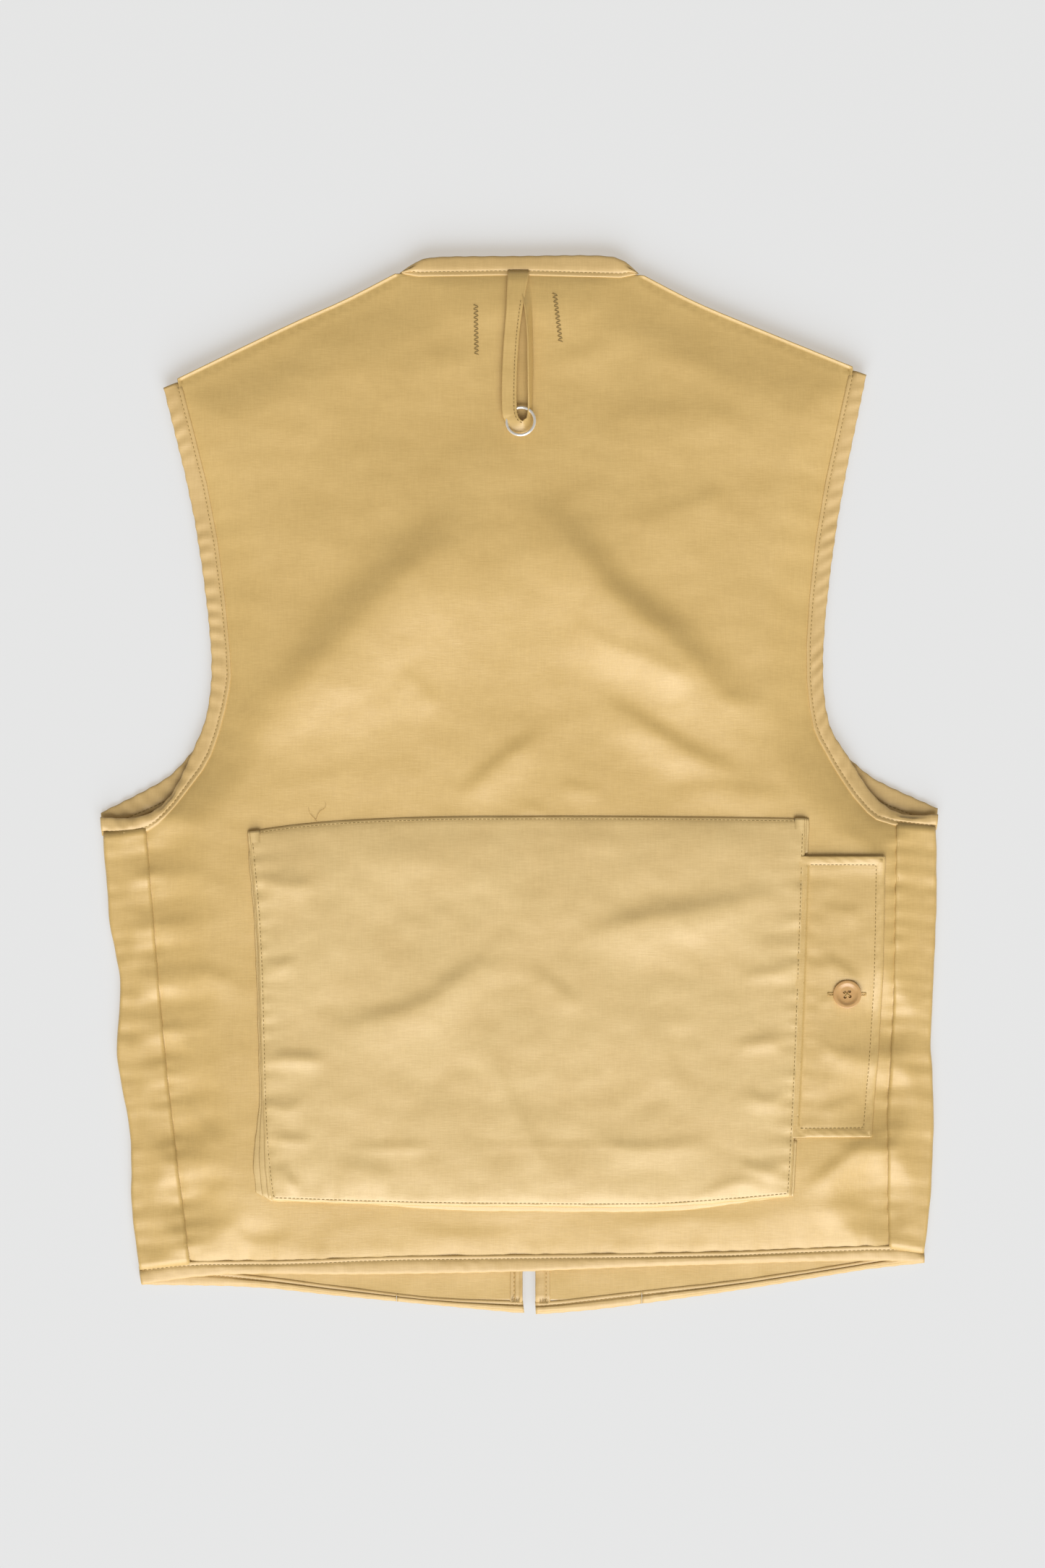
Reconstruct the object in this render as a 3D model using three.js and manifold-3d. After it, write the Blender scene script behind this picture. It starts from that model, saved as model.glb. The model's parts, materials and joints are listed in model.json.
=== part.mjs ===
// A sleeveless fishing vest in cotton sateen, lying face down with its back up.
// Millimetres, +X to the wearer's right, +Y to the collar, +Z up out of the surface it lies on.
// The vest is a stack of flat layers: pocket buttons at the bottom, pocket flaps, pockets, the two
// fronts, the hollow for the body, the back, and on the back the cargo pocket, its flap and the loop.
import * as THREE from 'three';
import { mergeVertices } from 'three/addons/utils/BufferGeometryUtils.js';
import Module from 'manifold-3d';

const wasm = await Module();
wasm.setup();

// ---- driving dimensions ----
const CLOTH = 0.8;          // sateen with its lining or seam allowance
const BINDING = 1.3;        // folded bias tape, four layers of cloth
const SEAM_GAP = 0.3;       // clearance between neighbouring pieces
const BODY_ROOM = 6;        // hollow between the fronts and the back
const POCKET_ROOM = 4.6;    // hollow inside each pocket
const BUTTON_RADIUS = 9.75;
const BUTTON_THICK = 2.4;
const BUTTON_HOLE_RADIUS = 1.1;
const BUTTON_HOLE_PITCH = 3.45;
const SHANK_RADIUS = 0.9;   // thread that holds a button
const BUTTONHOLE_WIDTH = 2.4;
const BUTTONHOLE_LENGTH = 26;
const NECK_X = 85;          // where the neckline meets each shoulder, and the fold of each front
const EDGE_STEPS = 10;      // straight steps along a curved edge
const THROUGH = 1;          // how far a cutting tool passes the faces that it cuts

// ---- heights of the layers ----
const POCKET_FLAP_Z = BUTTON_THICK + SEAM_GAP;
const POCKET_FACE_Z = POCKET_FLAP_Z + CLOTH + SEAM_GAP;
const FRONT_Z = POCKET_FACE_Z + CLOTH + POCKET_ROOM;
const BACK_Z = FRONT_Z + CLOTH + BODY_ROOM;
const ON_BACK_Z = BACK_Z + CLOTH + SEAM_GAP;
const CARGO_FACE_Z = BACK_Z + CLOTH + POCKET_ROOM + SEAM_GAP;
const BINDING_DROP = (BINDING - CLOTH) / 2;

// ---- materials ----
const cloth = (colour, roughness = 0.75) =>
  new THREE.MeshStandardMaterial({ color: colour, roughness, metalness: 0 });
const sateen = cloth('#d5b67d');
const tape = cloth('#d7be8c');
const flapCloth = cloth('#dbbd80');
const pocketCloth = cloth('#dec087');
const liningCloth = cloth('#d9c091');
const buttonPlastic = cloth('#c39e68', 0.4);
const polishedSteel = new THREE.MeshStandardMaterial({ color: '#c0b8af', roughness: 0.15, metalness: 1 });

const vest = new THREE.Group();

// ---- building helpers ----
function add(name, geometry, material) {
  const mesh = new THREE.Mesh(geometry, material);
  mesh.name = name;
  vest.add(mesh);
  return mesh;
}

function vectors(points) {
  return points.map(([x, y]) => new THREE.Vector2(x, y));
}

// A smooth edge through the given points.
function edge(points, steps = EDGE_STEPS) {
  return new THREE.SplineCurve(vectors(points)).getPoints(steps);
}

// The outline drawn in by a distance, so that two pieces sharing a seam keep a gap.
function drawnIn(outline, distance) {
  const loop = THREE.ShapeUtils.isClockWise(outline) ? [...outline].reverse() : outline;
  return loop.map((point, i) => {
    const before = loop[(i + loop.length - 1) % loop.length];
    const after = loop[(i + 1) % loop.length];
    const into = point.clone().sub(before).normalize();
    const out = after.clone().sub(point).normalize();
    const normalIn = new THREE.Vector2(-into.y, into.x);
    const normalOut = new THREE.Vector2(-out.y, out.x);
    const mitre = normalIn.clone().add(normalOut).divideScalar(1 + normalIn.dot(normalOut));
    return point.clone().addScaledVector(mitre, distance);
  });
}

function extruded(outline, depth) {
  return new THREE.ExtrudeGeometry(new THREE.Shape(outline), { depth, bevelEnabled: false });
}

// A box from its lowest to its highest corner.
function block(low, high) {
  const size = high.map((value, i) => value - low[i]);
  const centre = high.map((value, i) => (value + low[i]) / 2);
  return new THREE.BoxGeometry(...size).translate(...centre);
}

// A section drawn in Y and Z, carried along X.
function alongX(section, x0, x1) {
  const toWorld = new THREE.Matrix4().makeBasis(
    new THREE.Vector3(0, 1, 0), new THREE.Vector3(0, 0, 1), new THREE.Vector3(1, 0, 0));
  return extruded(section, x1 - x0).applyMatrix4(toWorld).translate(x0, 0, 0);
}

function solid(geometry) {
  const bare = geometry.clone();
  bare.deleteAttribute('normal');
  bare.deleteAttribute('uv');
  const merged = mergeVertices(bare, 1e-4);
  return new wasm.Manifold(new wasm.Mesh({
    numProp: 3,
    vertProperties: merged.attributes.position.array,
    triVerts: new Uint32Array(merged.index.array),
  }));
}

function geometryOf(manifold) {
  const mesh = manifold.getMesh();
  const geometry = new THREE.BufferGeometry();
  geometry.setAttribute('position', new THREE.BufferAttribute(mesh.vertProperties, 3));
  geometry.setIndex(new THREE.BufferAttribute(mesh.triVerts, 1));
  geometry.computeVertexNormals();
  return geometry;
}

// Trimming leaves slivers along a seam; only the piece itself is kept.
function cut(geometry, ...tools) {
  const trimmed = tools.reduce((body, tool) => body.subtract(solid(tool)), solid(geometry));
  return geometryOf(trimmed.decompose().reduce((a, b) => (a.volume() > b.volume() ? a : b)));
}

function join(first, ...others) {
  return geometryOf(others.reduce((body, other) => body.add(solid(other)), solid(first)));
}

// A flat piece of cloth inside an outline, from a height up, kept a seam gap clear of the outlines
// that its neighbours already take.
function laid(outline, z, thick, taken = []) {
  const piece = extruded(outline, thick).translate(0, 0, z);
  return taken.length ? cut(piece, ...taken.map((other) => clearance(other, z))) : piece;
}

function clearance(outline, z) {
  const reach = 2 * BINDING;
  return extruded(drawnIn(outline, -SEAM_GAP), 2 * reach).translate(0, 0, z - reach);
}

const at = (x, y) => new THREE.Vector2(x, y);
const reversed = (points) => [...points].reverse();
const band = (seam, rim) => [...seam, ...reversed(rim)];

// ---- edges of the vest, the wearer's left side at negative X ----
const neckSeam = edge([[-NECK_X, 352], [-40, 352.5], [0, 353], [40, 352], [NECK_X, 351]]);
const neckTop = edge([
  [-83, 354.5], [-70, 363], [-54, 366], [0, 366.5], [49, 367], [70, 364.5], [83, 354],
], 14);
const backNeck = band(neckSeam.slice(1, -1), neckTop);
const backHem = band(
  edge([[-264, -334], [-228, -330], [-165, -329], [-88, -326], [0, -325], [139.5, -323],
    [256.5, -319], [281, -322]], 18),
  edge([[-262, -346.5], [-203.5, -339.5], [-107.5, -339], [0, -337], [105.5, -333],
    [240.5, -330], [281, -331.5]], 18));

const SIDES = {
  left: {
    sign: -1,
    shoulder: edge([[-NECK_X, 352], [-120, 334], [-160, 316], [-234.5, 280]]),
    backArmholeSeam: edge([[-234.5, 280], [-212, 188], [-200.5, 93], [-202, 61], [-213.5, 21],
      [-229.5, -3], [-245, -22], [-261, -33], [-289.5, -35]], 20),
    backArmholeRim: edge([[-246.5, 275], [-226, 188], [-214, 98], [-216, 53], [-226, 25],
      [-243, -9], [-264, -22], [-290.5, -22]], 20),
    frontArmholeSeam: edge([[-234.5, 280], [-208, 188], [-190.5, 98], [-195, 48], [-211, 20],
      [-229, -3], [-247, -15], [-289.5, -33]], 20),
    frontArmholeRim: edge([[-246.5, 275], [-222, 188], [-204, 98], [-209, 50], [-223, 29],
      [-239, 10], [-255, -1], [-290.5, -19]], 20),
    sideSeam: edge([[-260, -15], [-252.5, -107], [-243.5, -207], [-227, -340]], 6),
    sideFold: edge([[-289, -28], [-284, -95], [-277, -137], [-279, -190], [-270, -240],
      [-269, -290], [-263, -340]], 12),
    frontHem: band(
      edge([[-264, -334], [-184, -340], [-87, -352], [-52, -355.5], [2.5, -357.5]], 10),
      edge([[-262, -347], [-184, -348.5], [-127, -354], [-12, -365], [3.5, -366]], 10)),
    facing: [2.5, -6.5],
    necklineSeam: edge([[-NECK_X, 349], [-66, 296], [-38, 242], [-6, 213]], 8),
    necklineRim: edge([[-71, 351], [-52, 300], [-25, 250], [2.5, 222]], 8),
  },
  right: {
    sign: 1,
    shoulder: edge([[NECK_X, 351], [120, 333], [160, 316], [229, 288]]),
    backArmholeSeam: edge([[229, 288], [208, 188], [199, 98], [202.5, 46], [211.5, 24],
      [224.5, 2], [236.5, -14], [252, -26], [289.5, -31]], 20),
    backArmholeRim: edge([[240.5, 284], [221.5, 188], [211, 98], [214, 46], [228, 20],
      [246.5, -8], [266, -20], [290.5, -20]], 20),
    frontArmholeSeam: edge([[229, 288], [203, 188], [187.5, 98], [192, 46], [207, 20],
      [226, 0], [246, -13], [289.5, -30]], 20),
    frontArmholeRim: edge([[240.5, 284], [217, 188], [201, 98], [205, 50], [219, 29],
      [235.5, 13], [251, 2], [290.5, -16]], 20),
    sideSeam: edge([[261.5, -12], [259, -161], [255, -230], [256.5, -328]], 6),
    sideFold: edge([[289, -25], [289.5, -80], [287.5, -130], [285.5, -180], [287.5, -217],
      [285, -290], [280.5, -328]], 12),
    frontHem: band(
      edge([[281, -322], [234, -331], [160.5, -342], [97, -349], [28, -357], [11, -358]], 10),
      edge([[281, -332], [240, -336.5], [181.5, -346], [97, -358], [50, -364], [11.5, -367]], 10)),
    facing: [11, 21.5],
    necklineSeam: edge([[NECK_X, 348], [77, 296], [51, 242], [21, 213]], 8),
    necklineRim: edge([[73, 350], [63, 300], [38, 250], [11, 222]], 8),
  },
};
for (const edges of Object.values(SIDES)) {
  edges.sidePanel = band(edges.sideSeam, edges.sideFold);
  edges.backArmhole = band(edges.backArmholeSeam, edges.backArmholeRim);
  edges.frontArmhole = band(edges.frontArmholeSeam, edges.frontArmholeRim);
  edges.neckline = band(edges.necklineSeam, edges.necklineRim);
}
const BACK_LOW_Y = -330;    // outlines run on to here under the hem bindings, then are trimmed
const FRONT_LOW_Y = -355;

// ---- the back: panel, and the tapes that bind its neck and hem ----
function makeBack() {
  const { left, right } = SIDES;
  // Drawn out to the side folds and under the bindings, then trimmed back to what lies there.
  const outline = [
    ...reversed(neckSeam),
    ...left.shoulder.slice(1, -1),
    ...left.backArmholeSeam,
    ...left.sideFold.slice(1),
    at(0, BACK_LOW_Y),
    ...reversed(right.sideFold).slice(0, -1),
    ...reversed(right.backArmholeSeam),
    ...reversed(right.shoulder).slice(1, -1),
  ];
  const taken = [backNeck, backHem, left.backArmhole, right.backArmhole, left.sidePanel, right.sidePanel];
  add('back_panel', laid(outline, BACK_Z, CLOTH, taken), sateen);
  add('neck_binding_back', laid(backNeck, BACK_Z - BINDING_DROP, BINDING), tape);
  add('hem_binding_back', laid(backHem, BACK_Z - BINDING_DROP, BINDING), tape);
}

// ---- side panels, folded round each side of the body ----
const PANEL_PASS = 30;      // how far the hollow's cut runs past the panel's ends
const PANEL_DEPTH = 90;     // and in towards the body

function makeSidePanel(side, { sign, sidePanel, sideFold, backArmhole, frontArmhole, frontHem }) {
  const outer = extruded(sidePanel, BACK_Z + CLOTH - FRONT_Z).translate(0, 0, FRONT_Z);
  const inside = sideFold.map((p) => at(p.x - sign * CLOTH, p.y));
  const first = inside[0];
  const last = inside.at(-1);
  const hollow = extruded([
    at(first.x, first.y + PANEL_PASS),
    ...inside,
    at(last.x, last.y - PANEL_PASS),
    at(last.x - sign * PANEL_DEPTH, last.y - PANEL_PASS),
    at(first.x - sign * PANEL_DEPTH, first.y + PANEL_PASS),
  ], BODY_ROOM).translate(0, 0, FRONT_Z + CLOTH);
  const bindings = [
    clearance(backArmhole, BACK_Z), clearance(backHem, BACK_Z),
    clearance(frontArmhole, FRONT_Z), clearance(frontHem, FRONT_Z),
  ];
  add(`side_panel_${side}`, cut(outer, hollow, ...bindings), sateen);
}

// ---- armhole bindings, back and front ----
function makeArmholeBindings(side, { backArmhole, frontArmhole }) {
  add(`armhole_binding_back_${side}`, laid(backArmhole, BACK_Z - BINDING_DROP, BINDING), tape);
  add(`armhole_binding_front_${side}`, laid(frontArmhole, FRONT_Z - BINDING_DROP, BINDING), tape);
}

// ---- the fixed outer part of each front, with the fold over the shoulder ----
const FRONT_REACH = 400;
const strip = (x0, x1) => [
  at(x0, -FRONT_REACH), at(x1, -FRONT_REACH), at(x1, FRONT_REACH), at(x0, FRONT_REACH),
];
const SHOULDER_WALL = 1.6;

function makeFrontPanel(side, edges) {
  const { sign, shoulder, frontArmhole, frontArmholeSeam, frontHem, sidePanel, sideFold } = edges;
  const leafStrip = strip(0, sign * (NECK_X - SEAM_GAP / 2));
  const outline = [
    ...shoulder.slice(0, -1),
    ...frontArmholeSeam,
    ...sideFold.slice(1),
    at(sign * NECK_X, FRONT_LOW_Y),
  ];
  const flat = extruded(outline, CLOTH).translate(0, 0, FRONT_Z);
  // The cloth turns up over the shoulder and reaches the back there.
  const crest = shoulder.slice(1);
  const inner = crest.map((p) => at(p.x, p.y - SHOULDER_WALL));
  const turn = extruded(band(crest, inner), CLOTH + BODY_ROOM - SEAM_GAP).translate(0, 0, FRONT_Z);
  const taken = [frontArmhole, frontHem, sidePanel, leafStrip].map((other) => clearance(other, FRONT_Z));
  add(`front_panel_${side}`, cut(join(flat, turn), ...taken), sateen);
  add(`hem_binding_front_${side}`, laid(frontHem, FRONT_Z - BINDING_DROP, BINDING, [leafStrip]), tape);
}

// ---- the opening leaf of each front, hinged on the line under the neck point ----
const CLOSURE_Y = [180, 60, -60, -180];
const CLOSURE_INSET = BUTTON_RADIUS + 1;
const FACING_RIM_Y = 221;   // top of the facing at the opening, and at its seam
const FACING_SEAM_Y = 212;

function makeLeaf(side, { sign, neckline, necklineSeam, frontHem, facing: [rim, seam] }) {
  const fixedStrip = strip(sign * (NECK_X + SEAM_GAP / 2), sign * FRONT_REACH);
  const facing = [
    at(seam, FRONT_LOW_Y), at(rim, FRONT_LOW_Y), at(rim, FACING_RIM_Y), at(seam, FACING_SEAM_Y),
  ];
  const outline = [...necklineSeam, at(seam, FRONT_LOW_Y), at(sign * NECK_X, FRONT_LOW_Y)];
  let leaf = laid(outline, FRONT_Z, CLOTH, [neckline, frontHem, facing, fixedStrip]);
  if (sign < 0) {
    const middle = seam - CLOSURE_INSET;
    const half = BUTTONHOLE_LENGTH / 2;
    leaf = cut(leaf, ...CLOSURE_Y.map((y) => block(
      [middle - half, y - SEAM_GAP, FRONT_Z - THROUGH],
      [middle + half, y + SEAM_GAP, FRONT_Z + CLOTH + THROUGH])));
  }
  add(`front_leaf_${side}`, leaf, sateen);
  const low = FRONT_Z - BINDING_DROP;
  add(`front_facing_${side}`, laid(facing, low, BINDING, [neckline, frontHem]), tape);
  add(`neck_binding_${side}`, laid(neckline, low, BINDING, [fixedStrip]), tape);
  add(`leaf_hem_binding_${side}`, laid(frontHem, low, BINDING, [fixedStrip]), tape);
}

// ---- buttons: dished, four holes, with the thread that holds them ----
const RIM_WIDTH = 2.2;      // flat-topped rim round the button's dish
const DISH_DEPTH = 0.9;
const EDGE_ROUNDING = 0.7;
const SHANK_BURIED = 0.4;

function button(x, y, z, up, shankReach) {
  const rim = BUTTON_RADIUS;
  const dish = BUTTON_THICK - DISH_DEPTH;
  const profile = vectors([
    [0, 0], [rim - EDGE_ROUNDING, 0], [rim, EDGE_ROUNDING], [rim, BUTTON_THICK - EDGE_ROUNDING],
    [rim - EDGE_ROUNDING, BUTTON_THICK], [rim - RIM_WIDTH, BUTTON_THICK],
    [rim - RIM_WIDTH - DISH_DEPTH, dish], [0, dish],
  ]);
  const disc = new THREE.LatheGeometry(profile, 24).rotateX(Math.PI / 2);
  const half = BUTTON_HOLE_PITCH / 2;
  const holes = [[-half, -half], [-half, half], [half, -half], [half, half]].map(([hx, hy]) =>
    new THREE.CylinderGeometry(BUTTON_HOLE_RADIUS, BUTTON_HOLE_RADIUS, 3 * BUTTON_THICK, 8)
      .rotateX(Math.PI / 2).translate(hx, hy, 0));
  const shank = new THREE.CylinderGeometry(SHANK_RADIUS, SHANK_RADIUS, shankReach + SHANK_BURIED, 8)
    .rotateX(Math.PI / 2).translate(0, 0, (SHANK_BURIED - shankReach) / 2);
  const shape = join(cut(disc, ...holes), shank);
  if (!up) shape.rotateX(Math.PI);
  return shape.translate(x, y, z);
}

// ---- pockets on the fronts ----
const POCKETS = {
  chest_left: { x: [-180, -96], y: [72, 168] },
  chest_right: { x: [96, 178], y: [72, 168] },
  lower_left: { x: [-220, -94], y: [-312, -126] },
  lower_right: { x: [94, 232], y: [-312, -126] },
};
const POCKET_WALL = 1.2;
const FLAP_LENGTH = 50;
const FLAP_RISE = 8;      // from the pocket's mouth up to the seam that holds the flap
const FLAP_OVERHANG = 2;
const FLAP_BEND = 0.6;      // the flap starts to rise this far past the mouth
const BUTTON_BELOW_MOUTH = 32;

function makeFrontPocket(name, { x: [x0, x1], y: [y0, y1] }) {
  const top = FRONT_Z - SEAM_GAP;
  add(`${name}_pocket`, cut(
    block([x0, y0, POCKET_FACE_Z], [x1, y1, top]),
    block([x0 + POCKET_WALL, y0 + POCKET_WALL, POCKET_FACE_Z + CLOTH],
      [x1 - POCKET_WALL, y1 + THROUGH, top + THROUGH]),
  ), pocketCloth);
  const low = POCKET_FLAP_Z;
  const section = vectors([
    [y1 - FLAP_LENGTH, low], [y1 + FLAP_BEND, low],
    [y1 + FLAP_RISE, top - CLOTH], [y1 + FLAP_RISE, top], [y1 + FLAP_RISE - CLOTH, top],
    [y1 + FLAP_BEND, low + CLOTH], [y1 - FLAP_LENGTH, low + CLOTH],
  ]);
  const flap = alongX(section, x0 - FLAP_OVERHANG, x1 + FLAP_OVERHANG);
  const middle = (x0 + x1) / 2;
  const buttonY = y1 - BUTTON_BELOW_MOUTH;
  const slit = block(
    [middle - BUTTONHOLE_WIDTH / 2, buttonY - BUTTONHOLE_LENGTH / 2, low - THROUGH],
    [middle + BUTTONHOLE_WIDTH / 2, buttonY + BUTTONHOLE_LENGTH / 2, low + CLOTH + THROUGH]);
  add(`${name}_flap`, cut(flap, slit), flapCloth);
  add(`${name}_button`, button(middle, buttonY, BUTTON_THICK, false, CLOTH + SEAM_GAP), buttonPlastic);
}

// ---- the cargo pocket across the back ----
const CARGO_LEFT = edge([[-187, -32], [-180.5, -107], [-176.5, -235], [-171.5, -287]], 8);
const CARGO_BOTTOM = edge([[-171.5, -287], [-80, -290], [1, -291], [97, -291], [187.5, -284]], 8);
const CARGO_RIGHT = edge([[187.5, -284], [191.5, -207], [195, -116], [198, -23]], 6);
const CARGO_TOP = edge([[198, -23], [80, -21.5], [-59, -22], [-141.5, -26], [-187, -32]], 8);
const GUSSET_WALL = 1.6;
const GUSSET_INSET = 2;
const FLAP_TOP_Y = -49;
const FLAP_BOTTOM_Y = -243.5;
const FLAP_HINGE_X = 198.7;
const MOUTH_X = 150;        // the side of the pocket is open from here out, a little past the flap
const MOUTH_PAST = 2;
const CARGO_BUTTON = { x: 226.5, y: -144.5 };

function makeCargoPocket() {
  const face = [
    ...CARGO_LEFT.slice(0, -1),
    ...CARGO_BOTTOM.slice(0, -1),
    ...CARGO_RIGHT.slice(0, -1),
    ...CARGO_TOP.slice(0, -1),
  ];
  add('cargo_pocket_face', laid(face, CARGO_FACE_Z, CLOTH), pocketCloth);

  // A pleated wall round the pocket, open on the side that the flap closes.
  const wall = extruded(drawnIn(face, GUSSET_INSET), POCKET_ROOM - SEAM_GAP).translate(0, 0, ON_BACK_Z);
  const room = extruded(drawnIn(face, GUSSET_INSET + GUSSET_WALL), 3 * POCKET_ROOM)
    .translate(0, 0, ON_BACK_Z - POCKET_ROOM);
  const mouth = block([MOUTH_X, FLAP_BOTTOM_Y - MOUTH_PAST, BACK_Z],
    [FLAP_HINGE_X + POCKET_ROOM, FLAP_TOP_Y + MOUTH_PAST, CARGO_FACE_Z]);
  add('cargo_gusset', cut(wall, room, mouth), pocketCloth);

  const plate = extruded([
    at(FLAP_HINGE_X, FLAP_TOP_Y),
    at(FLAP_HINGE_X, FLAP_BOTTOM_Y),
    ...edge([[244, FLAP_BOTTOM_Y], [249, -182], [251.5, -137], [253, FLAP_TOP_Y]], 6),
  ], CLOTH).translate(0, 0, ON_BACK_Z);
  const riser = block([FLAP_HINGE_X, FLAP_BOTTOM_Y, ON_BACK_Z],
    [FLAP_HINGE_X + CLOTH, FLAP_TOP_Y, CARGO_FACE_Z + CLOTH / 2]);
  const slit = block(
    [CARGO_BUTTON.x - BUTTONHOLE_LENGTH / 2, CARGO_BUTTON.y - BUTTONHOLE_WIDTH / 2, ON_BACK_Z - THROUGH],
    [CARGO_BUTTON.x + BUTTONHOLE_LENGTH / 2, CARGO_BUTTON.y + BUTTONHOLE_WIDTH / 2,
      ON_BACK_Z + CLOTH + THROUGH]);
  add('cargo_flap', cut(join(plate, riser), slit), flapCloth);
  add('cargo_button', button(CARGO_BUTTON.x, CARGO_BUTTON.y, ON_BACK_Z + CLOTH + SEAM_GAP, true,
    CLOTH + SEAM_GAP), buttonPlastic);
}

// ---- hanging loop and its ring ----
const LOOP_X = 1;
const LOOP_HALF_WIDTH = 5.2;
const LOOP_TOP_Y = 350.8;
const LOOP_JOIN_Y = 335;      // above here both layers of the strap are sewn together
const BIGHT_Y = 257.6;
const BIGHT_RADIUS = 4.6;
const LOOP_STRAP = 0.8;
const RING_Y = 251;
const RING_RADIUS = 9.75;
const RING_WIRE = 1;

function bend(radius) {
  const middle = ON_BACK_Z + BIGHT_RADIUS;
  const half = Math.PI / 2;
  return new THREE.EllipseCurve(BIGHT_Y, middle, radius, radius, -half, half, true).getPoints(EDGE_STEPS);
}

function makeHangLoop() {
  const low = ON_BACK_Z;
  const sewn = low + 2 * LOOP_STRAP + SEAM_GAP;
  const outline = [
    at(LOOP_TOP_Y, low),
    ...bend(BIGHT_RADIUS),
    at(LOOP_JOIN_Y, sewn),
    at(LOOP_TOP_Y, sewn),
  ];
  const hole = [
    at(LOOP_JOIN_Y, low + LOOP_STRAP),
    ...bend(BIGHT_RADIUS - LOOP_STRAP),
    at(LOOP_JOIN_Y, sewn - LOOP_STRAP),
  ];
  const strap = alongX(outline, LOOP_X - LOOP_HALF_WIDTH, LOOP_X + LOOP_HALF_WIDTH);
  const inside = alongX(hole, LOOP_X - 2 * LOOP_HALF_WIDTH, LOOP_X + 2 * LOOP_HALF_WIDTH);
  add('hang_loop', cut(strap, inside), sateen);
  add('hang_ring', new THREE.TorusGeometry(RING_RADIUS, RING_WIRE, 8, 32)
    .translate(LOOP_X, RING_Y, ON_BACK_Z + BIGHT_RADIUS), polishedSteel);
}

// ---- blank label sewn inside the back ----
const LABEL = { x: [-31, 28], y: [297, 341], thick: 0.5 };

function makeLabel() {
  const { x: [x0, x1], y: [y0, y1], thick } = LABEL;
  const top = BACK_Z - SEAM_GAP;
  add('label', block([x0, y0, top - thick], [x1, y1, top]), liningCloth);
}

makeBack();
for (const [side, edges] of Object.entries(SIDES)) {
  makeSidePanel(side, edges);
  makeArmholeBindings(side, edges);
  makeFrontPanel(side, edges);
  makeLeaf(side, edges);
}
for (const [name, pocket] of Object.entries(POCKETS)) {
  makeFrontPocket(name, pocket);
}
CLOSURE_Y.forEach((y, i) => {
  const x = SIDES.right.facing[1] + CLOSURE_INSET;
  add(`closure_button_${i + 1}`,
    button(x, y, FRONT_Z - 2 * SEAM_GAP, false, SEAM_GAP), buttonPlastic);
});
makeCargoPocket();
makeHangLoop();
makeLabel();

export default vest;
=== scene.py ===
"""A sleeveless fishing vest in cotton sateen, lying face down with its back up.

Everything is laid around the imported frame. Sizes and places are in millimetres, in the frame's
own axes, and turn to metres only where a mesh is made.
"""
import json
import math

import bpy
import numpy as np
from mathutils import Matrix, Vector, noise
from mathutils.bvhtree import BVHTree
from mathutils.geometry import delaunay_2d_cdt
from mathutils.kdtree import KDTree

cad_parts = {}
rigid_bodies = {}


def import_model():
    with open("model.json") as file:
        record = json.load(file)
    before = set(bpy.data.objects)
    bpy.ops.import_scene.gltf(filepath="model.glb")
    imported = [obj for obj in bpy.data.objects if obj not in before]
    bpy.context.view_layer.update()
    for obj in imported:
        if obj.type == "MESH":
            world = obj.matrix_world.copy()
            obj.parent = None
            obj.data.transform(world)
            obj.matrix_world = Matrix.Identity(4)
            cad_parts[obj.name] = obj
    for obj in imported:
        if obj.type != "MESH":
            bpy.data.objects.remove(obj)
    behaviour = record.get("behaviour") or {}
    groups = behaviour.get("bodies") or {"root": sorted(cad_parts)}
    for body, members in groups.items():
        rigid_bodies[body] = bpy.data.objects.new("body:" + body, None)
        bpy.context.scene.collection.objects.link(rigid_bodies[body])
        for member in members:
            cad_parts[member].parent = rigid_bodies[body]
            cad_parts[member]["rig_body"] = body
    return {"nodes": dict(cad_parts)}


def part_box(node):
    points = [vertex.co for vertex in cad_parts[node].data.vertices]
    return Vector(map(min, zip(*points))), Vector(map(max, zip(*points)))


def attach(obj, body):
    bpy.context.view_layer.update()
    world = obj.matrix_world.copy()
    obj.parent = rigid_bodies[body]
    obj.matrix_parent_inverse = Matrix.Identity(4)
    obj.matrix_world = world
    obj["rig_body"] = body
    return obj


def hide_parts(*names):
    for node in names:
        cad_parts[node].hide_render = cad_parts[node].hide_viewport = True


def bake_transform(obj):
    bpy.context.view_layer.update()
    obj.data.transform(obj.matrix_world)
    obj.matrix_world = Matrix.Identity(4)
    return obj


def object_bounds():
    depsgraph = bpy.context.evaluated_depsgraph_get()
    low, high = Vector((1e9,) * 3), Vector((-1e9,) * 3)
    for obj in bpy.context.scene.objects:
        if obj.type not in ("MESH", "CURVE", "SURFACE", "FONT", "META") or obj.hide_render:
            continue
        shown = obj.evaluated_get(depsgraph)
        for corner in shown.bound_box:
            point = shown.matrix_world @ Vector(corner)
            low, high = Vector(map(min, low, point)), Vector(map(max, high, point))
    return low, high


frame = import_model()
cad_bounds = [list(corner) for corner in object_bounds()]

MM = 0.001
TAU = 2 * math.pi


# ---------------------------------------------------------------- the frame, in millimetres
def box(node):
    low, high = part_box(node)
    return np.array(low) / MM, np.array(high) / MM


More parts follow.
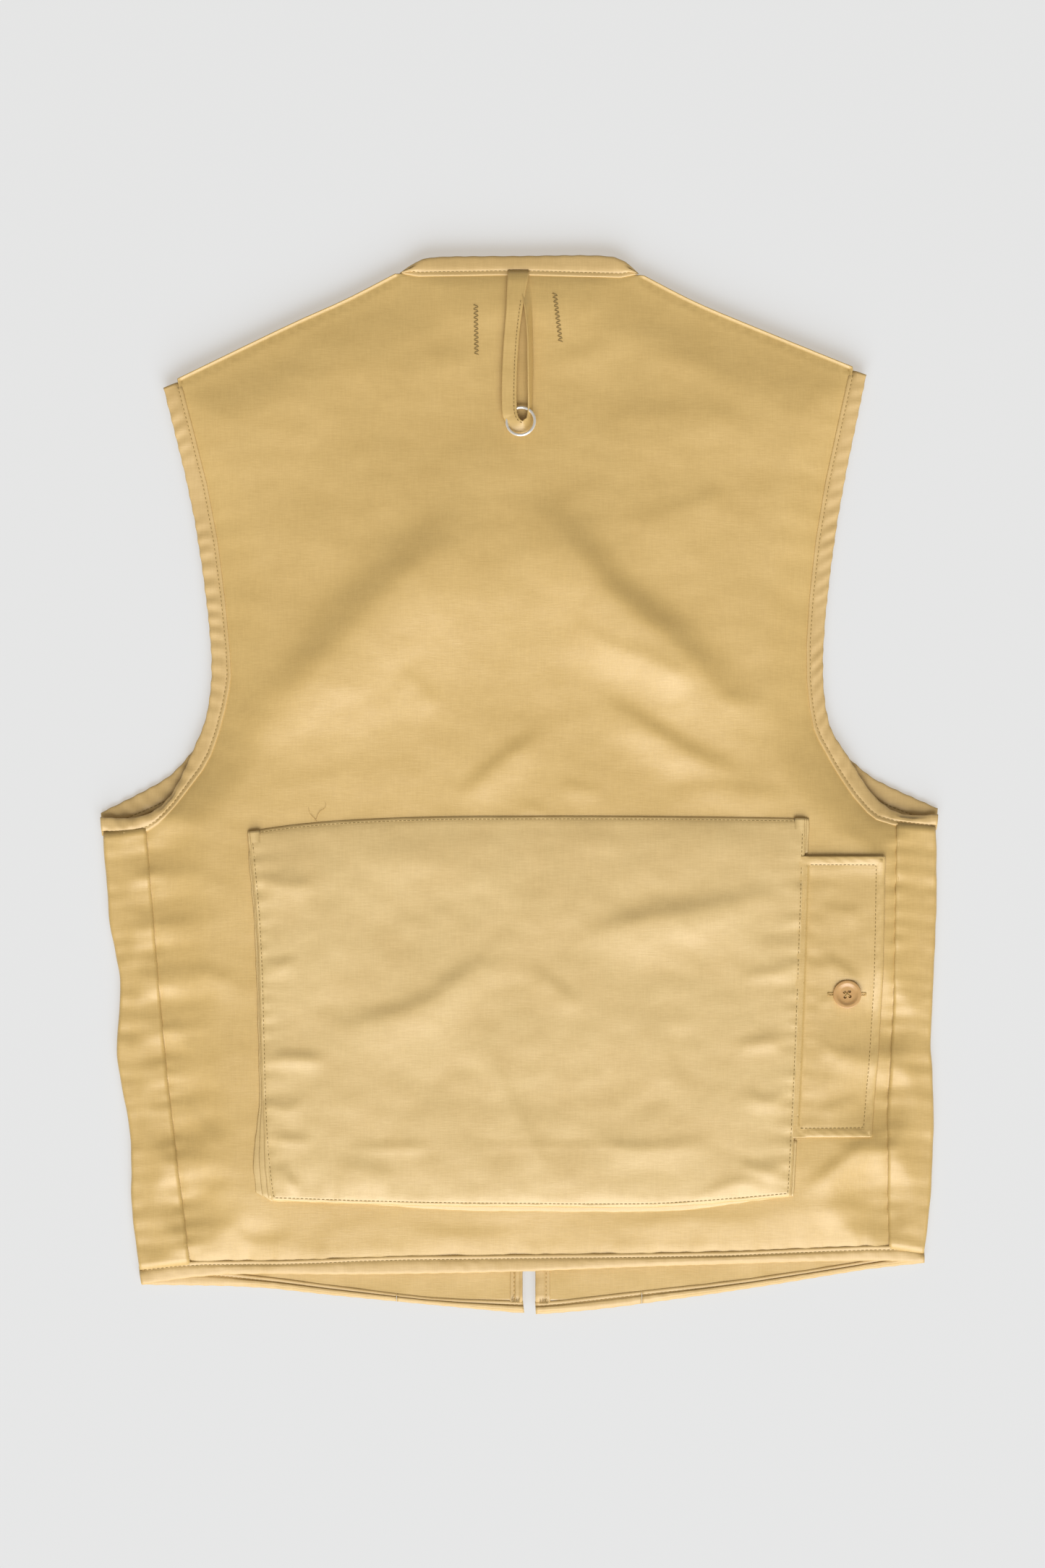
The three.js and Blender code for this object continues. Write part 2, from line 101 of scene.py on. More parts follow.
def outline_of(node, height=None, facing=1):
    """The edge of a node's upward or downward faces, counter-clockwise, at its end or a height."""
    mesh = frame["nodes"][node].data
    level = box(node)[facing > 0][2] if height is None else height
    places = {}
    edges = set()
    for face in mesh.polygons:
        if face.normal.z * facing < 0.99:
            continue
        if abs(mesh.vertices[face.vertices[0]].co.z / MM - level) > 0.05:
            continue
        keys = []
        for index in face.vertices:
            co = mesh.vertices[index].co
            key = (round(co.x / MM, 2), round(co.y / MM, 2))
            places[key] = (co.x / MM, co.y / MM)
            keys.append(key)
        for start, end in zip(keys, keys[1:] + keys[:1]):
            if (end, start) in edges:
                edges.remove((end, start))
            else:
                edges.add((start, end))
    following = dict(sorted(edges))
    loops = []
    while following:
        start, here = following.popitem()
        loop = [start]
        while here in following:
            loop.append(here)
            here = following.pop(here)
        loops.append(loop)
    return np.array([places[key] for key in max(loops, key=len)])[::facing]


def long_sides(node, panel, corners=4, height=None):
    """The seam and the rim of a tape, each from the same end: the seam is nearer its panel."""
    loop = outline_of(node, height)
    before = loop - np.roll(loop, 1, axis=0)
    after = np.roll(loop, -1, axis=0) - loop
    turn = np.arctan2(
        before[:, 0] * after[:, 1] - before[:, 1] * after[:, 0], (before * after).sum(1))
    picked = sorted(np.argsort(-np.abs(turn))[:corners])
    runs = []
    for first, last in zip(picked, picked[1:] + [picked[0] + len(loop)]):
        runs.append(loop[[i % len(loop) for i in range(first, last + 1)]])
    runs = sorted(runs, key=length_of)[-2:]
    middle = sum(box(panel))[:2] / 2
    seam, rim = sorted(runs, key=lambda run: np.linalg.norm(even(run, 40) - middle, axis=1).mean())
    return seam, rim[::-1]


# ---------------------------------------------------------------- lines and distances
def length_of(line):
    return np.linalg.norm(np.diff(line, axis=0), axis=1).sum()


def even(line, count):
    """A line's points spaced evenly, the same number whatever its shape."""
    line = np.asarray(line, float)
    run = np.concatenate([[0], np.cumsum(np.linalg.norm(np.diff(line, axis=0), axis=1))])
    share = np.linspace(0, run[-1], count)
    return np.stack([np.interp(share, run, line[:, k]) for k in range(line.shape[1])], axis=1)


def spaced(line, pitch):
    return even(line, max(2, round(length_of(line) / pitch) + 1))


def rounded(line, count=80):
    """A smooth curve through a few points."""
    line = np.asarray(line, float)
    run = np.concatenate([[0], np.cumsum(np.linalg.norm(np.diff(line, axis=0), axis=1))])
    slope = np.gradient(line, run, axis=0)
    where = np.linspace(0, run[-1], count)
    at = np.clip(np.searchsorted(run, where, side="right") - 1, 0, len(run) - 2)
    gap = (run[at + 1] - run[at])[:, None]
    t = (where - run[at])[:, None] / gap
    start, end = line[at], line[at + 1]
    return (start * (2 * t**3 - 3 * t**2 + 1) + slope[at] * gap * (t**3 - 2 * t**2 + t)
            + end * (3 * t**2 - 2 * t**3) + slope[at + 1] * gap * (t**3 - t**2))


def closed(loop):
    return np.vstack([loop, loop[:1]])


def to_line(xy, line):
    """From each point to a line: the distance, the share of the way along it, and the side."""
    line = np.asarray(line, float)
    best = np.full(len(xy), np.inf)
    share = np.zeros(len(xy))
    above = np.zeros(len(xy))
    steps = np.linalg.norm(np.diff(line, axis=0), axis=1)
    starts = np.concatenate([[0], np.cumsum(steps)])
    for i, step in enumerate(steps):
        if step < 1e-9:
            continue
        along = (line[i + 1] - line[i]) / step
        offset = xy - line[i]
        t = np.clip(offset @ along, 0, step)
        gap = offset - t[:, None] * along
        distance = np.linalg.norm(gap, axis=1)
        nearer = distance < best
        best = np.where(nearer, distance, best)
        share = np.where(nearer, (starts[i] + t) / starts[-1], share)
        above = np.where(nearer, gap[:, 1], above)
    return best, share, np.sign(above)


def grown(loop, distance):
    """A counter-clockwise loop moved out by a distance."""
    into = loop - np.roll(loop, 1, axis=0)
    out = np.roll(loop, -1, axis=0) - loop
    into /= np.linalg.norm(into, axis=1)[:, None]
    out /= np.linalg.norm(out, axis=1)[:, None]
    normals = [np.stack([d[:, 1], -d[:, 0]], axis=1) for d in (into, out)]
    mitre = (normals[0] + normals[1]) / np.maximum(1 + (normals[0] * normals[1]).sum(1), 0.5)[:, None]
    return loop + mitre * distance


def smooth(t):
    t = np.clip(t, 0, 1)
    return t * t * (3 - 2 * t)


def rumple(xy, along, across, seed):
    """Smooth uneven heights between about -1 and 1, with lumps of these sizes in X and Y."""
    return np.array([noise.noise((x / along, y / across, seed)) for x, y in xy])


def inside(xy, loop):
    """Whether each point lies in a loop."""
    result = np.zeros(len(xy), bool)
    for (x0, y0), (x1, y1) in zip(loop, np.roll(loop, -1, axis=0)):
        if y0 == y1:
            continue
        crossing = x0 + (xy[:, 1] - y0) * (x1 - x0) / (y1 - y0)
        result ^= ((xy[:, 1] < y0) != (xy[:, 1] < y1)) & (xy[:, 0] < crossing)
    return result


class Field:
    """Heights on a regular grid, read anywhere between its points."""

    def __init__(self, low, step, values):
        self.low = np.asarray(low, float)
        self.step = step
        self.values = values

    @classmethod
    def of(cls, heights, low, high, step):
        """The same heights as a function gives, but quick to read."""
        xs = np.arange(low[0], high[0] + step, step)
        ys = np.arange(low[1], high[1] + step, step)
        places = np.stack(np.meshgrid(xs, ys, indexing="ij"), axis=2).reshape(-1, 2)
        return cls((xs[0], ys[0]), step, heights(places).reshape(len(xs), len(ys)))

    def __call__(self, xy):
        last = np.array(self.values.shape) - 1.001
        at = np.clip((np.asarray(xy) - self.low) / self.step, 0, last)
        i, j = at.astype(int).T
        u, v = (at - at.astype(int)).T
        grid = self.values
        return ((grid[i, j] * (1 - u) + grid[i + 1, j] * u) * (1 - v)
                + (grid[i, j + 1] * (1 - u) + grid[i + 1, j + 1] * u) * v)


def softened(values, times):
    for _ in range(times):
        padded = np.pad(values, 1, mode="edge")
        values = (padded[:-2, 1:-1] + padded[2:, 1:-1] + padded[1:-1, :-2] + padded[1:-1, 2:]
                  + 2 * padded[1:-1, 1:-1]) / 6
    return values


# ---------------------------------------------------------------- the lie of the cloth
GRID = 3.0
CLOTH = 0.8
SIDES = {"left": -1, "right": 1}


def depth_field():
    """How far each place lies in from the vest's outer edge, seen from above."""
    corners = []
    triangles = []
    for node in frame["nodes"].values():
        first = len(corners)
        corners += [v.co / MM for v in node.data.vertices]
        triangles += [[first + i for i in face.vertices] for face in node.data.polygons]
    tree = BVHTree.FromPolygons(corners, triangles)
    low, high = (np.array(corner) / MM for corner in cad_bounds)
    xs = np.arange(low[0] - 3 * GRID, high[0] + 3 * GRID, GRID)
    ys = np.arange(low[1] - 3 * GRID, high[1] + 3 * GRID, GRID)
    down = Vector((0, 0, -1))
    covered = np.array([[tree.ray_cast(Vector((x, y, 100)), down)[0] is not None for y in ys]
                        for x in xs])
    gaps = np.argwhere(~covered)
    near = KDTree(len(gaps))
    for index, (i, j) in enumerate(gaps):
        near.insert((xs[i], ys[j], 0), index)
    near.balance()
    depth = np.array([[near.find((x, y, 0))[2] - GRID / 2 if covered[i, j] else 0
                       for j, y in enumerate(ys)] for i, x in enumerate(xs)])
    return Field((xs[0], ys[0]), GRID, softened(np.maximum(depth, 0), 2))


depth_at = depth_field()
BACK_TOP = box("back_panel")[1][2]
FRONT_MIDDLE = box("front_facing_left")[0][2] + 0.65
BACK_DROOP = 9.2        # how much lower the back lies along the vest's outer edge
FRONT_DROOP = 7.3       # and the fronts
EDGE_REACH = 45.0
SHOULDER_STIFFNESS = 0.42
SHOULDER_START = 180.0
OPENING_REACH = 215.0   # the doubled cloth by the front opening holds the hem up as well
OPENING_STIFFNESS = 0.7
HEM_START = -258.0      # from here down the back comes to lie on the fronts
HEM_REACH = 68.0
HEM_LIFT = 4.4

# Folds of the back: a line along the crest, its half width, and its height. Each is steeper on
# its collar side.
BACK_FOLDS = [
    ([(-215, 146), (-90, 152), (0, 158), (90, 150), (205, 140)], 105, 4.6),
    ([(-14, 196), (-56, 158), (-92, 126), (-136, 80), (-188, 20)], 36, 8.8),
    ([(0, 208), (22, 179), (70, 122), (104, 96), (132, 66), (172, 34)], 25, 7.8),
    ([(-190, 196), (-90, 204), (0, 214), (90, 206), (196, 190)], 92, 3.4),
    ([(46, 64), (71, 49), (111, 24), (161, 0)], 12, 3.0),
    ([(30, 118), (58, 96), (92, 84), (130, 62)], 12, 1.9),
    ([(-44, -15), (-19, 9), (21, 39)], 10, 2.2),
    ([(-84, 80), (-54, 50)], 11, 1.3),
    ([(-4, -14), (22, -19)], 5, 0.6),
    ([(24, 0), (62, -5)], 6, 0.8),
    ([(21, 291), (71, 304)], 12, 1.0),
    ([(-120, 268), (-60, 290), (-14, 292)], 22, 1.6),
    ([(51, 252), (110, 250), (176, 254)], 24, 2.0),
    ([(76, 179), (126, 194), (151, 204)], 12, 1.1),
    ([(131, 60), (176, 55)], 9, 0.8),
    ([(-150, -2), (-110, 8), (-60, 0)], 16, 1.0),
    ([(90, -8), (150, -4), (196, -12)], 9, 1.0),
    ([(-249, -150), (-229, -181), (-214, -186)], 8, 1.6),
    ([(-236, -214), (-222, -236), (-200, -252)], 9, 1.6),
    ([(-240, -270), (-216, -282), (-192, -276)], 8, 1.3),
    ([(-228, -120), (-206, -134), (-192, -130)], 8, 1.0),
    ([(-206, -300), (-186, -318), (-150, -312)], 9, 1.4),
    ([(-90, -306), (-40, -312), (30, -308)], 8, 0.7),
    ([(60, -308), (120, -300), (180, -306)], 8, 0.7),
    ([(193, -285), (222, -262), (251, -240)], 8, 2.0),
    ([(214, -30), (236, -40), (262, -58)], 8, 1.0),
    ([(200, -300), (226, -292), (252, -300)], 7, 1.0),
]


def folds(xy, lines):
    """Soft ridges along lines, which fade at both ends."""
    height = np.zeros(len(xy))
    for points, width, rise in lines:
        line = np.asarray(points, float)
        near = np.all((xy > line.min(0) - 3 * width) & (xy < line.max(0) + 3 * width), axis=1)
        if not near.any():
            continue
        distance, share, side = to_line(xy[near], rounded(line, 18) if len(line) > 2 else line)
        reach = np.where(side > 0, 0.62 * width, 1.25 * width)
        fade = smooth(np.minimum(share, 1 - share) / 0.35)
        height[near] += rise * np.exp(-((distance / reach) ** 2)) * fade
    return height


def settling(xy):
    """1 along the outer edge, where the vest lies lowest, and 0 well inside it. The shoulders,
    whose seams are stiff, stay higher."""
    stiff = 1 - SHOULDER_STIFFNESS * smooth((xy[:, 1] - SHOULDER_START) / 90)
    middle = smooth((OPENING_REACH - np.abs(xy[:, 0])) / 90) * smooth((-270 - xy[:, 1]) / 50)
    return (1 - smooth(depth_at(xy) / EDGE_REACH)) * stiff * (1 - OPENING_STIFFNESS * middle)


def lie_of_front(xy):
    """Middle of the front's cloth."""
    return FRONT_MIDDLE - FRONT_DROOP * settling(xy) + 0.5 * rumple(xy, 46, 30, 3.1)


LOW, HIGH = (np.array(corner[:2]) / MM for corner in cad_bounds)
front_height = Field.of(lie_of_front, LOW - 6, HIGH + 6, 3.0)


def within(xy, loop):
    """How far each place lies inside a loop, and nothing outside it."""
    return np.where(inside(xy, loop), to_line(xy, closed(loop))[0], 0)


POCKET_EDGE = outline_of("cargo_pocket_face")


def lie_of_back(xy):
    """Top of the back's cloth. Under the cargo pocket it lies flat."""
    hem = smooth((HEM_START - xy[:, 1]) / HEM_REACH)
    uneven = 0.9 * rumple(xy, 60, 42, 7.3) + 0.35 * rumple(xy, 24, 15, 2.9) + 0.12 * rumple(xy, 9, 6, 5.5)
    calm = 0.15 + 0.85 * smooth(depth_at(xy) / 25)
    free = 1 - smooth(within(xy, POCKET_EDGE) / 12)
    base = BACK_TOP - BACK_DROOP * settling(xy)
    base += (front_height(xy) + HEM_LIFT - base) * hem
    return base + (folds(xy, BACK_FOLDS) * free + uneven) * calm


back_height = Field.of(lie_of_back, LOW - 6, HIGH + 6, 2.0)


# ---------------------------------------------------------------- meshes
def piece(name, points, faces, material, body):
    """A new smooth piece from points in millimetres, riding on a body of the frame."""
    mesh = bpy.data.meshes.new(name)
    mesh.from_pydata((np.asarray(points, float) * MM).tolist(), [], faces)
    mesh.validate()
    mesh.polygons.foreach_set("use_smooth", [True] * len(mesh.polygons))
    mesh.materials.append(material)
    obj = bpy.data.objects.new(name, mesh)
    bpy.context.scene.collection.objects.link(obj)
    if body:
        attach(obj, body)
    return obj


def finish(obj, kind, **settings):
    """Adds a modifier and applies it."""
    modifier = obj.modifiers.new(kind.title(), kind)
    for key, value in settings.items():
        setattr(modifier, key, value)
    bpy.ops.object.select_all(action="DESELECT")
    bpy.context.view_layer.objects.active = obj
    obj.select_set(True)
    bpy.ops.object.modifier_apply(modifier=modifier.name)
    obj.select_set(False)
    return obj


def cloth_sheet(outline, spacing, rings=(), edge_pitch=2.5, extra=()):
    """A flat sheet cut to an outline: its points and triangles. Rings are rows of points at these
    distances inside the edge, where the cloth turns sharply."""
    edge = spaced(closed(outline), edge_pitch)[:-1]
    points = [edge]
    clear = spacing * 0.55
    for ring in rings:
        row = grown(edge, -ring)
        keep = inside(row, edge) & (to_line(row, closed(edge))[0] > 0.9 * ring)
        points.append(row[keep])
        clear = ring + spacing * 0.6
    low, high = edge.min(0), edge.max(0)
    rise = spacing * math.sqrt(3) / 2
    rows = []
    for j, y in enumerate(np.arange(low[1], high[1], rise)):
        xs = np.arange(low[0] + (j % 2) * spacing / 2, high[0], spacing)
        rows.append(np.stack([xs, np.full(len(xs), y)], axis=1))
    lattice = np.vstack(rows)
    lattice = lattice[inside(lattice, edge)]
    lattice = lattice[to_line(lattice, closed(edge))[0] > clear]
    for row in extra:
        row = row[inside(row, edge) & (to_line(row, closed(edge))[0] > clear * 0.8)]
        points.append(row)
    if extra:
        lattice = lattice[np.min([to_line(lattice, row)[0] for row in extra], axis=0) > 0.6 * spacing]
    points = np.vstack(points + [lattice])
    ring_edges = [(i, (i + 1) % len(edge)) for i in range(len(edge))]
    found = delaunay_2d_cdt([Vector(p) for p in points], ring_edges, [], 1, 1e-4)
    flat = np.array([tuple(p) for p in found[0]])
    return flat, [list(face) for face in found[2]]


def tube_faces(stations, around, cap=True):
    """Faces of rings of points, one ring after another, closed at both ends."""
    faces = []
    for i in range(stations - 1):
        for j in range(around):
            a, b = i * around + j, i * around + (j + 1) % around
            faces.append([a, b, b + around, a + around])
    if cap:
        faces.append(list(range(around))[::-1])
        faces.append([(stations - 1) * around + j for j in range(around)])
    return faces


def strip_faces(stations, across):
    return [[i * across + j, i * across + j + 1, (i + 1) * across + j + 1, (i + 1) * across + j]
            for i in range(stations - 1) for j in range(across - 1)]


# ---------------------------------------------------------------- materials
def linear(value):
    """An sRGB hex colour as linear red, green, blue and alpha."""
    parts = [int(value[i:i + 2], 16) / 255 for i in (1, 3, 5)]
    return [c / 12.92 if c <= 0.04045 else ((c + 0.055) / 1.055) ** 2.4 for c in parts] + [1.0]


def new_material(name):
    material = bpy.data.materials.new(name)
    material.use_nodes = True
    tree = material.node_tree
    return material, tree, tree.nodes["Principled BSDF"]


def node(tree, kind, settings=None, **inputs):
    """Adds a node with its settings; an input is a value, or an output to link from."""
    made = tree.nodes.new("ShaderNode" + kind)
    for key, value in (settings or {}).items():
        setattr(made, key, value)
    for key, value in inputs.items():
        put(tree, made, key, value)
    return made


def put(tree, made, key, value):
    numbered = key[0] == "i" and key[1:].isdigit()
    socket = made.inputs[int(key[1:]) if numbered else key.replace("_", " ")]
    if isinstance(value, bpy.types.NodeSocket):
        tree.links.new(value, socket)
    else:
        socket.default_value = value


def mapped(tree, value, source, target):
    """A value carried over from one range to another."""
    made = node(tree, "MapRange", Value=value)
    for word, (low, high) in (("From", source), ("To", target)):
        made.inputs[f"{word} Min"].default_value = low
        made.inputs[f"{word} Max"].default_value = high
    return made.outputs["Result"]


def woven(name, colour, shade, rough=0.5, thread=0.9, sheen=0.12, relief=0.10, lumps=38.0):
    """Mercerised cotton woven with long floats: smooth, with a soft gloss. Its threads are a
    quarter of a millimetre apart and are drawn coarser, so that they show."""
    material, tree, shader = new_material(name)
    place = node(tree, "TexCoord").outputs["Object"]
    mottle = node(tree, "TexNoise", Vector=place, Scale=1 / (lumps * MM), Detail=3.0, Roughness=0.55)
    warp_place = node(tree, "Mapping", Vector=place, Scale=(1 / (thread * MM), 1 / (14 * thread * MM), 400.0))
    warp = node(tree, "TexNoise", Vector=warp_place.outputs["Vector"], Scale=1.0, Detail=1.0)
    weft_place = node(tree, "Mapping", Vector=place, Scale=(1 / (9 * thread * MM), 1 / (thread * MM), 400.0))
    weft = node(tree, "TexNoise", Vector=weft_place.outputs["Vector"], Scale=1.0, Detail=1.0)
    threads = node(tree, "Math", {"operation": "ADD"}, i0=warp.outputs["Fac"], i1=weft.outputs["Fac"])
    spread = mapped(tree, threads.outputs["Value"], (0.7, 1.3), (0.0, 1.0))
    broad = mapped(tree, mottle.outputs["Fac"], (0.35, 0.65), (0.0, 0.42))
    first = node(tree, "Mix", {"data_type": "RGBA"}, i0=broad)
    first.inputs[6].default_value = linear(colour)
    first.inputs[7].default_value = linear(shade)
    fine = node(tree, "Mix", {"data_type": "RGBA", "blend_type": "MULTIPLY"}, i0=spread)
    tree.links.new(first.outputs[2], fine.inputs[6])
    fine.inputs[7].default_value = (0.93, 0.92, 0.90, 1)
    creases = node(tree, "TexNoise", Vector=place, Scale=1 / (7 * MM), Detail=3.0, Roughness=0.5)
    worn = node(tree, "Bump", Strength=0.35, Distance=0.35 * MM, Height=creases.outputs["Fac"])
    weave = node(tree, "Bump", Strength=0.5, Distance=relief * MM, Height=threads.outputs["Value"],
                 Normal=worn.outputs["Normal"])
    tree.links.new(fine.outputs[2], shader.inputs["Base Color"])
    tree.links.new(weave.outputs["Normal"], shader.inputs["Normal"])
    shader.inputs["Roughness"].default_value = rough
    shader.inputs["IOR"].default_value = 1.5
    shader.inputs["Specular IOR Level"].default_value = 0.95
    shader.inputs["Sheen Weight"].default_value = sheen
    shader.inputs["Sheen Roughness"].default_value = 0.35
    shader.inputs["Sheen Tint"].default_value = linear("#f6e3b8")
    return material


def twisted_thread(name, colour):
    """Spun polyester sewing thread: two plies, slightly shiny."""
    material, tree, shader = new_material(name)
    place = node(tree, "TexCoord").outputs["Object"]
    ply = node(tree, "TexNoise", Vector=place, Scale=1 / (1.2 * MM), Detail=2.0)
    tone = node(tree, "Mix", {"data_type": "RGBA"}, i0=ply.outputs["Fac"])
    tone.inputs[6].default_value = linear(colour)
    tone.inputs[7].default_value = [c * 0.78 for c in linear(colour)[:3]] + [1]
    bump = node(tree, "Bump", Strength=0.6, Distance=0.1 * MM, Height=ply.outputs["Fac"])
    tree.links.new(tone.outputs[2], shader.inputs["Base Color"])
    tree.links.new(bump.outputs["Normal"], shader.inputs["Normal"])
    shader.inputs["Roughness"].default_value = 0.55
    shader.inputs["IOR"].default_value = 1.5
    return material


def moulded_urea(name, colour, deep):
    """Urea-formaldehyde, pressed and tumbled: a hard satin plastic, faintly clouded."""
    material, tree, shader = new_material(name)
    place = node(tree, "TexCoord").outputs["Object"]
    cloud = node(tree, "TexNoise", Vector=place, Scale=1 / (5 * MM), Detail=2.0)
    tone = node(tree, "Mix", {"data_type": "RGBA"}, i0=cloud.outputs["Fac"])
    tone.inputs[6].default_value = linear(colour)
    tone.inputs[7].default_value = linear(deep)
    fine = node(tree, "TexNoise", Vector=place, Scale=1 / (0.6 * MM), Detail=1.0)
    bump = node(tree, "Bump", Strength=0.2, Distance=0.03 * MM, Height=fine.outputs["Fac"])
    tree.links.new(tone.outputs[2], shader.inputs["Base Color"])
    tree.links.new(bump.outputs["Normal"], shader.inputs["Normal"])
    shader.inputs["Roughness"].default_value = 0.32
    shader.inputs["IOR"].default_value = 1.56
    shader.inputs["Subsurface Weight"].default_value = 0.08
    shader.inputs["Subsurface Radius"].default_value = (0.002, 0.0012, 0.0008)
    shader.inputs["Subsurface Scale"].default_value = 1.0
    return material


def plated_wire(name, colour):
    """Nickel-plated steel wire, drawn and polished, with faint scratches along it. It is only half metal,
    over a pale base: a painted reflection that keeps the wire bright though the room it mirrors is dim.
    """
    material, tree, shader = new_material(name)
    place = node(tree, "TexCoord").outputs["Object"]
    scratch = node(tree, "TexNoise", Vector=place, Scale=1 / (0.8 * MM), Detail=4.0)
    rough = mapped(tree, scratch.outputs["Fac"], (0.3, 0.7), (0.12, 0.26))
    bump = node(tree, "Bump", Strength=0.15, Distance=0.03 * MM, Height=scratch.outputs["Fac"])
    tree.links.new(rough, shader.inputs["Roughness"])
    tree.links.new(bump.outputs["Normal"], shader.inputs["Normal"])
    shader.inputs["Base Color"].default_value = linear(colour)
    # Half metal over a pale base: painted reflection, standing in for the bright surroundings that polished
    # nickel would mirror.
    shader.inputs["Metallic"].default_value = 0.55
    shader.inputs["Specular IOR Level"].default_value = 1.0
    return material


SATEEN = woven("cotton_sateen", "#d2b16d", "#c9a762")
# The pockets' cloth is the back's sateen painted lighter: painted light, standing in for the stronger light
# that falls on the vest's lower part.
POCKET_SATEEN_PAINTED_LIGHTER = woven("cotton_sateen_pocket_painted_lighter", "#d9bc80", "#d1b173")
FLAP_SATEEN = woven("cotton_sateen_flap", "#d4b473", "#cbaa68")
BIAS_TAPE = woven("bias_cut_tape", "#d2b275", "#c7a566", rough=0.55)
LABEL_TAFFETA = woven("woven_polyester_taffeta", "#d9c59a", "#cfb98a", rough=0.38, thread=0.5)
THREAD = twisted_thread("polyester_thread", "#c9a766")
DARK_THREAD = twisted_thread("polyester_thread_dark", "#a48a52")
UREA = moulded_urea("urea_button", "#cfa66e", "#bd935c")
NICKEL_PAINTED_BRIGHT = plated_wire("nickel_wire_painted_bright", "#f6f4f0")


# ---------------------------------------------------------------- sewing
STITCH = 3.0
THREAD_RADIUS = 0.24


def stitches(name, runs, heights, body, material=None, pitch=STITCH, radius=THREAD_RADIUS, share=0.72,
             up=1):
    """Rows of stitches: each a short thread that sinks into the cloth at both its ends."""
    material = material or THREAD
    rings = [(-0.5, -0.30, 0.6), (-0.32, 0.06, 1.0), (0.32, 0.06, 1.0), (0.5, -0.30, 0.6)]
    sides = 6
    points = []
    faces = []
    for run in runs:
        stops = spaced(np.asarray(run, float), pitch)
        middles = (stops[1:] + stops[:-1]) / 2
        along = stops[1:] - stops[:-1]
        lift = heights(middles[:, :2])
        for (x, y), (dx, dy), z in zip(middles, along, lift):
            first = len(points)
            reach = math.hypot(dx, dy)
            ux, uy = dx / reach, dy / reach
            for place, rise, fat in rings:
                cx, cy = x + dx * place * share, y + dy * place * share
                for k in range(sides):
                    angle = TAU * k / sides
                    side, height = radius * fat * math.cos(angle), radius * fat * math.sin(angle)
                    points.append((cx - uy * side, cy + ux * side, z + up * rise + height))
            for face in tube_faces(len(rings), sides):
                faces.append([first + i for i in face][::-1])
    return piece(name, points, faces, material, body)


TAPE_STEP = 1.8
TAPE_TWIST = 11.5       # from one askew pucker to the next
STITCH_INSET = 2.9      # of a tape's stitch line from its seam
# Across a tape, how far in and how high: from the seam, as a share of the width, from the rim.
TAPE_FROM_SEAM = [(-0.2, -0.5), (0.1, 0.25), (0.7, 0.75), (1.5, 0.85), (2.3, 0.55),
                  (STITCH_INSET, 0.18), (3.5, 0.5), (4.6, 0.85)]
TAPE_MIDDLE = [(0.5, 1.0), (0.62, 1.0), (0.75, 0.95)]
TAPE_FROM_RIM = [(-2.2, 0.85), (-0.9, 0.6), (-0.2, 0.15)]
TAPE_THICK = 1.7


def wavering(run, pitch, seed, row):
    """Slow noise along a line."""
    return np.array([noise.noise((r / pitch, seed, row)) for r in run])


def tape_section(width, roll):
    """Places across a tape, in millimetres in from its seam, with their heights."""
    section = []
    for inset, rise in TAPE_FROM_SEAM:
        if 0 < inset < STITCH_INSET:
            rise = 0.2 + (rise - 0.2) * roll
        section.append((np.minimum(inset, width * 0.4), rise))
    section += [(width * share, rise) for share, rise in TAPE_MIDDLE]
    return section + [(width + inset, rise) for inset, rise in TAPE_FROM_RIM]


def tape(name, nodes, panel, heights, body, corners=4, thick=TAPE_THICK, seed=1.0, stretch=0.45,
         roll=0.6, overrun=0.0):
    """A bias tape folded over a cut edge: rolled where it is sewn on, with a stitch line beside
    the roll, and puckers that run askew across it. Its height is that of the cloth under it."""
    sides = [long_sides(n, panel, corners, box(n)[1][2]) for n in nodes]
    seam = np.vstack([s for s, _ in sides])
    rim = np.vstack([r for _, r in sides])
    count = max(8, round(length_of(seam) / TAPE_STEP))
    seam, rim = even(seam, count), even(rim, count)
    for line in (seam, rim):
        line[0] += (line[0] - line[2]) * overrun
        line[-1] += (line[-1] - line[-3]) * overrun
    width = np.linalg.norm(rim - seam, axis=1)
    out = (rim - seam) / np.maximum(width, 0.1)[:, None]
    flat = np.minimum(1, width / 6)
    run = np.concatenate([[0], np.cumsum(np.linalg.norm(np.diff(seam, axis=0), axis=1))])
    strength = 0.55 + 0.9 * wavering(run, 31, seed, 9.5)
    rings = []
    for reach, rise in tape_section(width, roll):
        share = np.clip(reach / np.maximum(width, 0.1), -0.05, 1)
        phase = run / TAPE_TWIST * TAU + share * 2.6 + 1.8 * wavering(run, 26, seed, 0.5)
        pucker = stretch * np.sin(phase) * strength * smooth((reach - 2.5) / 4)
        rim_wave = 0.6 * stretch * np.sin(phase + 0.8) * smooth(share * 3 - 2)
        line = seam + (rim - seam) * share[:, None] + out * rim_wave[:, None]
        rings.append(np.column_stack([line, heights(line) + (rise * thick / TAPE_THICK + pucker) * flat]))
    for share in (0.985, 0.6, 0.0):
        line = seam + (rim - seam) * share
        z = heights(line) - np.minimum(thick * 0.65, width / 8 + 0.2)
        rings.append(np.column_stack([line, z]))
    points = np.stack(rings, axis=1).reshape(-1, 3)
    obj = piece(name, points, tube_faces(count, len(rings)), BIAS_TAPE, body)
    bpy.context.view_layer.update()
    tidy_normals(obj)
    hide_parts(*nodes)
    length_of(seam) * MM
    share = np.clip(STITCH_INSET / np.maximum(width, 3), 0, 0.5)
    return obj, seam + (rim - seam) * share[:, None]


def tidy_normals(obj):
    bpy.ops.object.select_all(action="DESELECT")
    bpy.context.view_layer.objects.active = obj
    obj.select_set(True)
    bpy.ops.object.mode_set(mode="EDIT")
    bpy.ops.mesh.select_all(action="SELECT")
    bpy.ops.mesh.normals_make_consistent(inside=False)
    bpy.ops.object.mode_set(mode="OBJECT")
    obj.select_set(False)


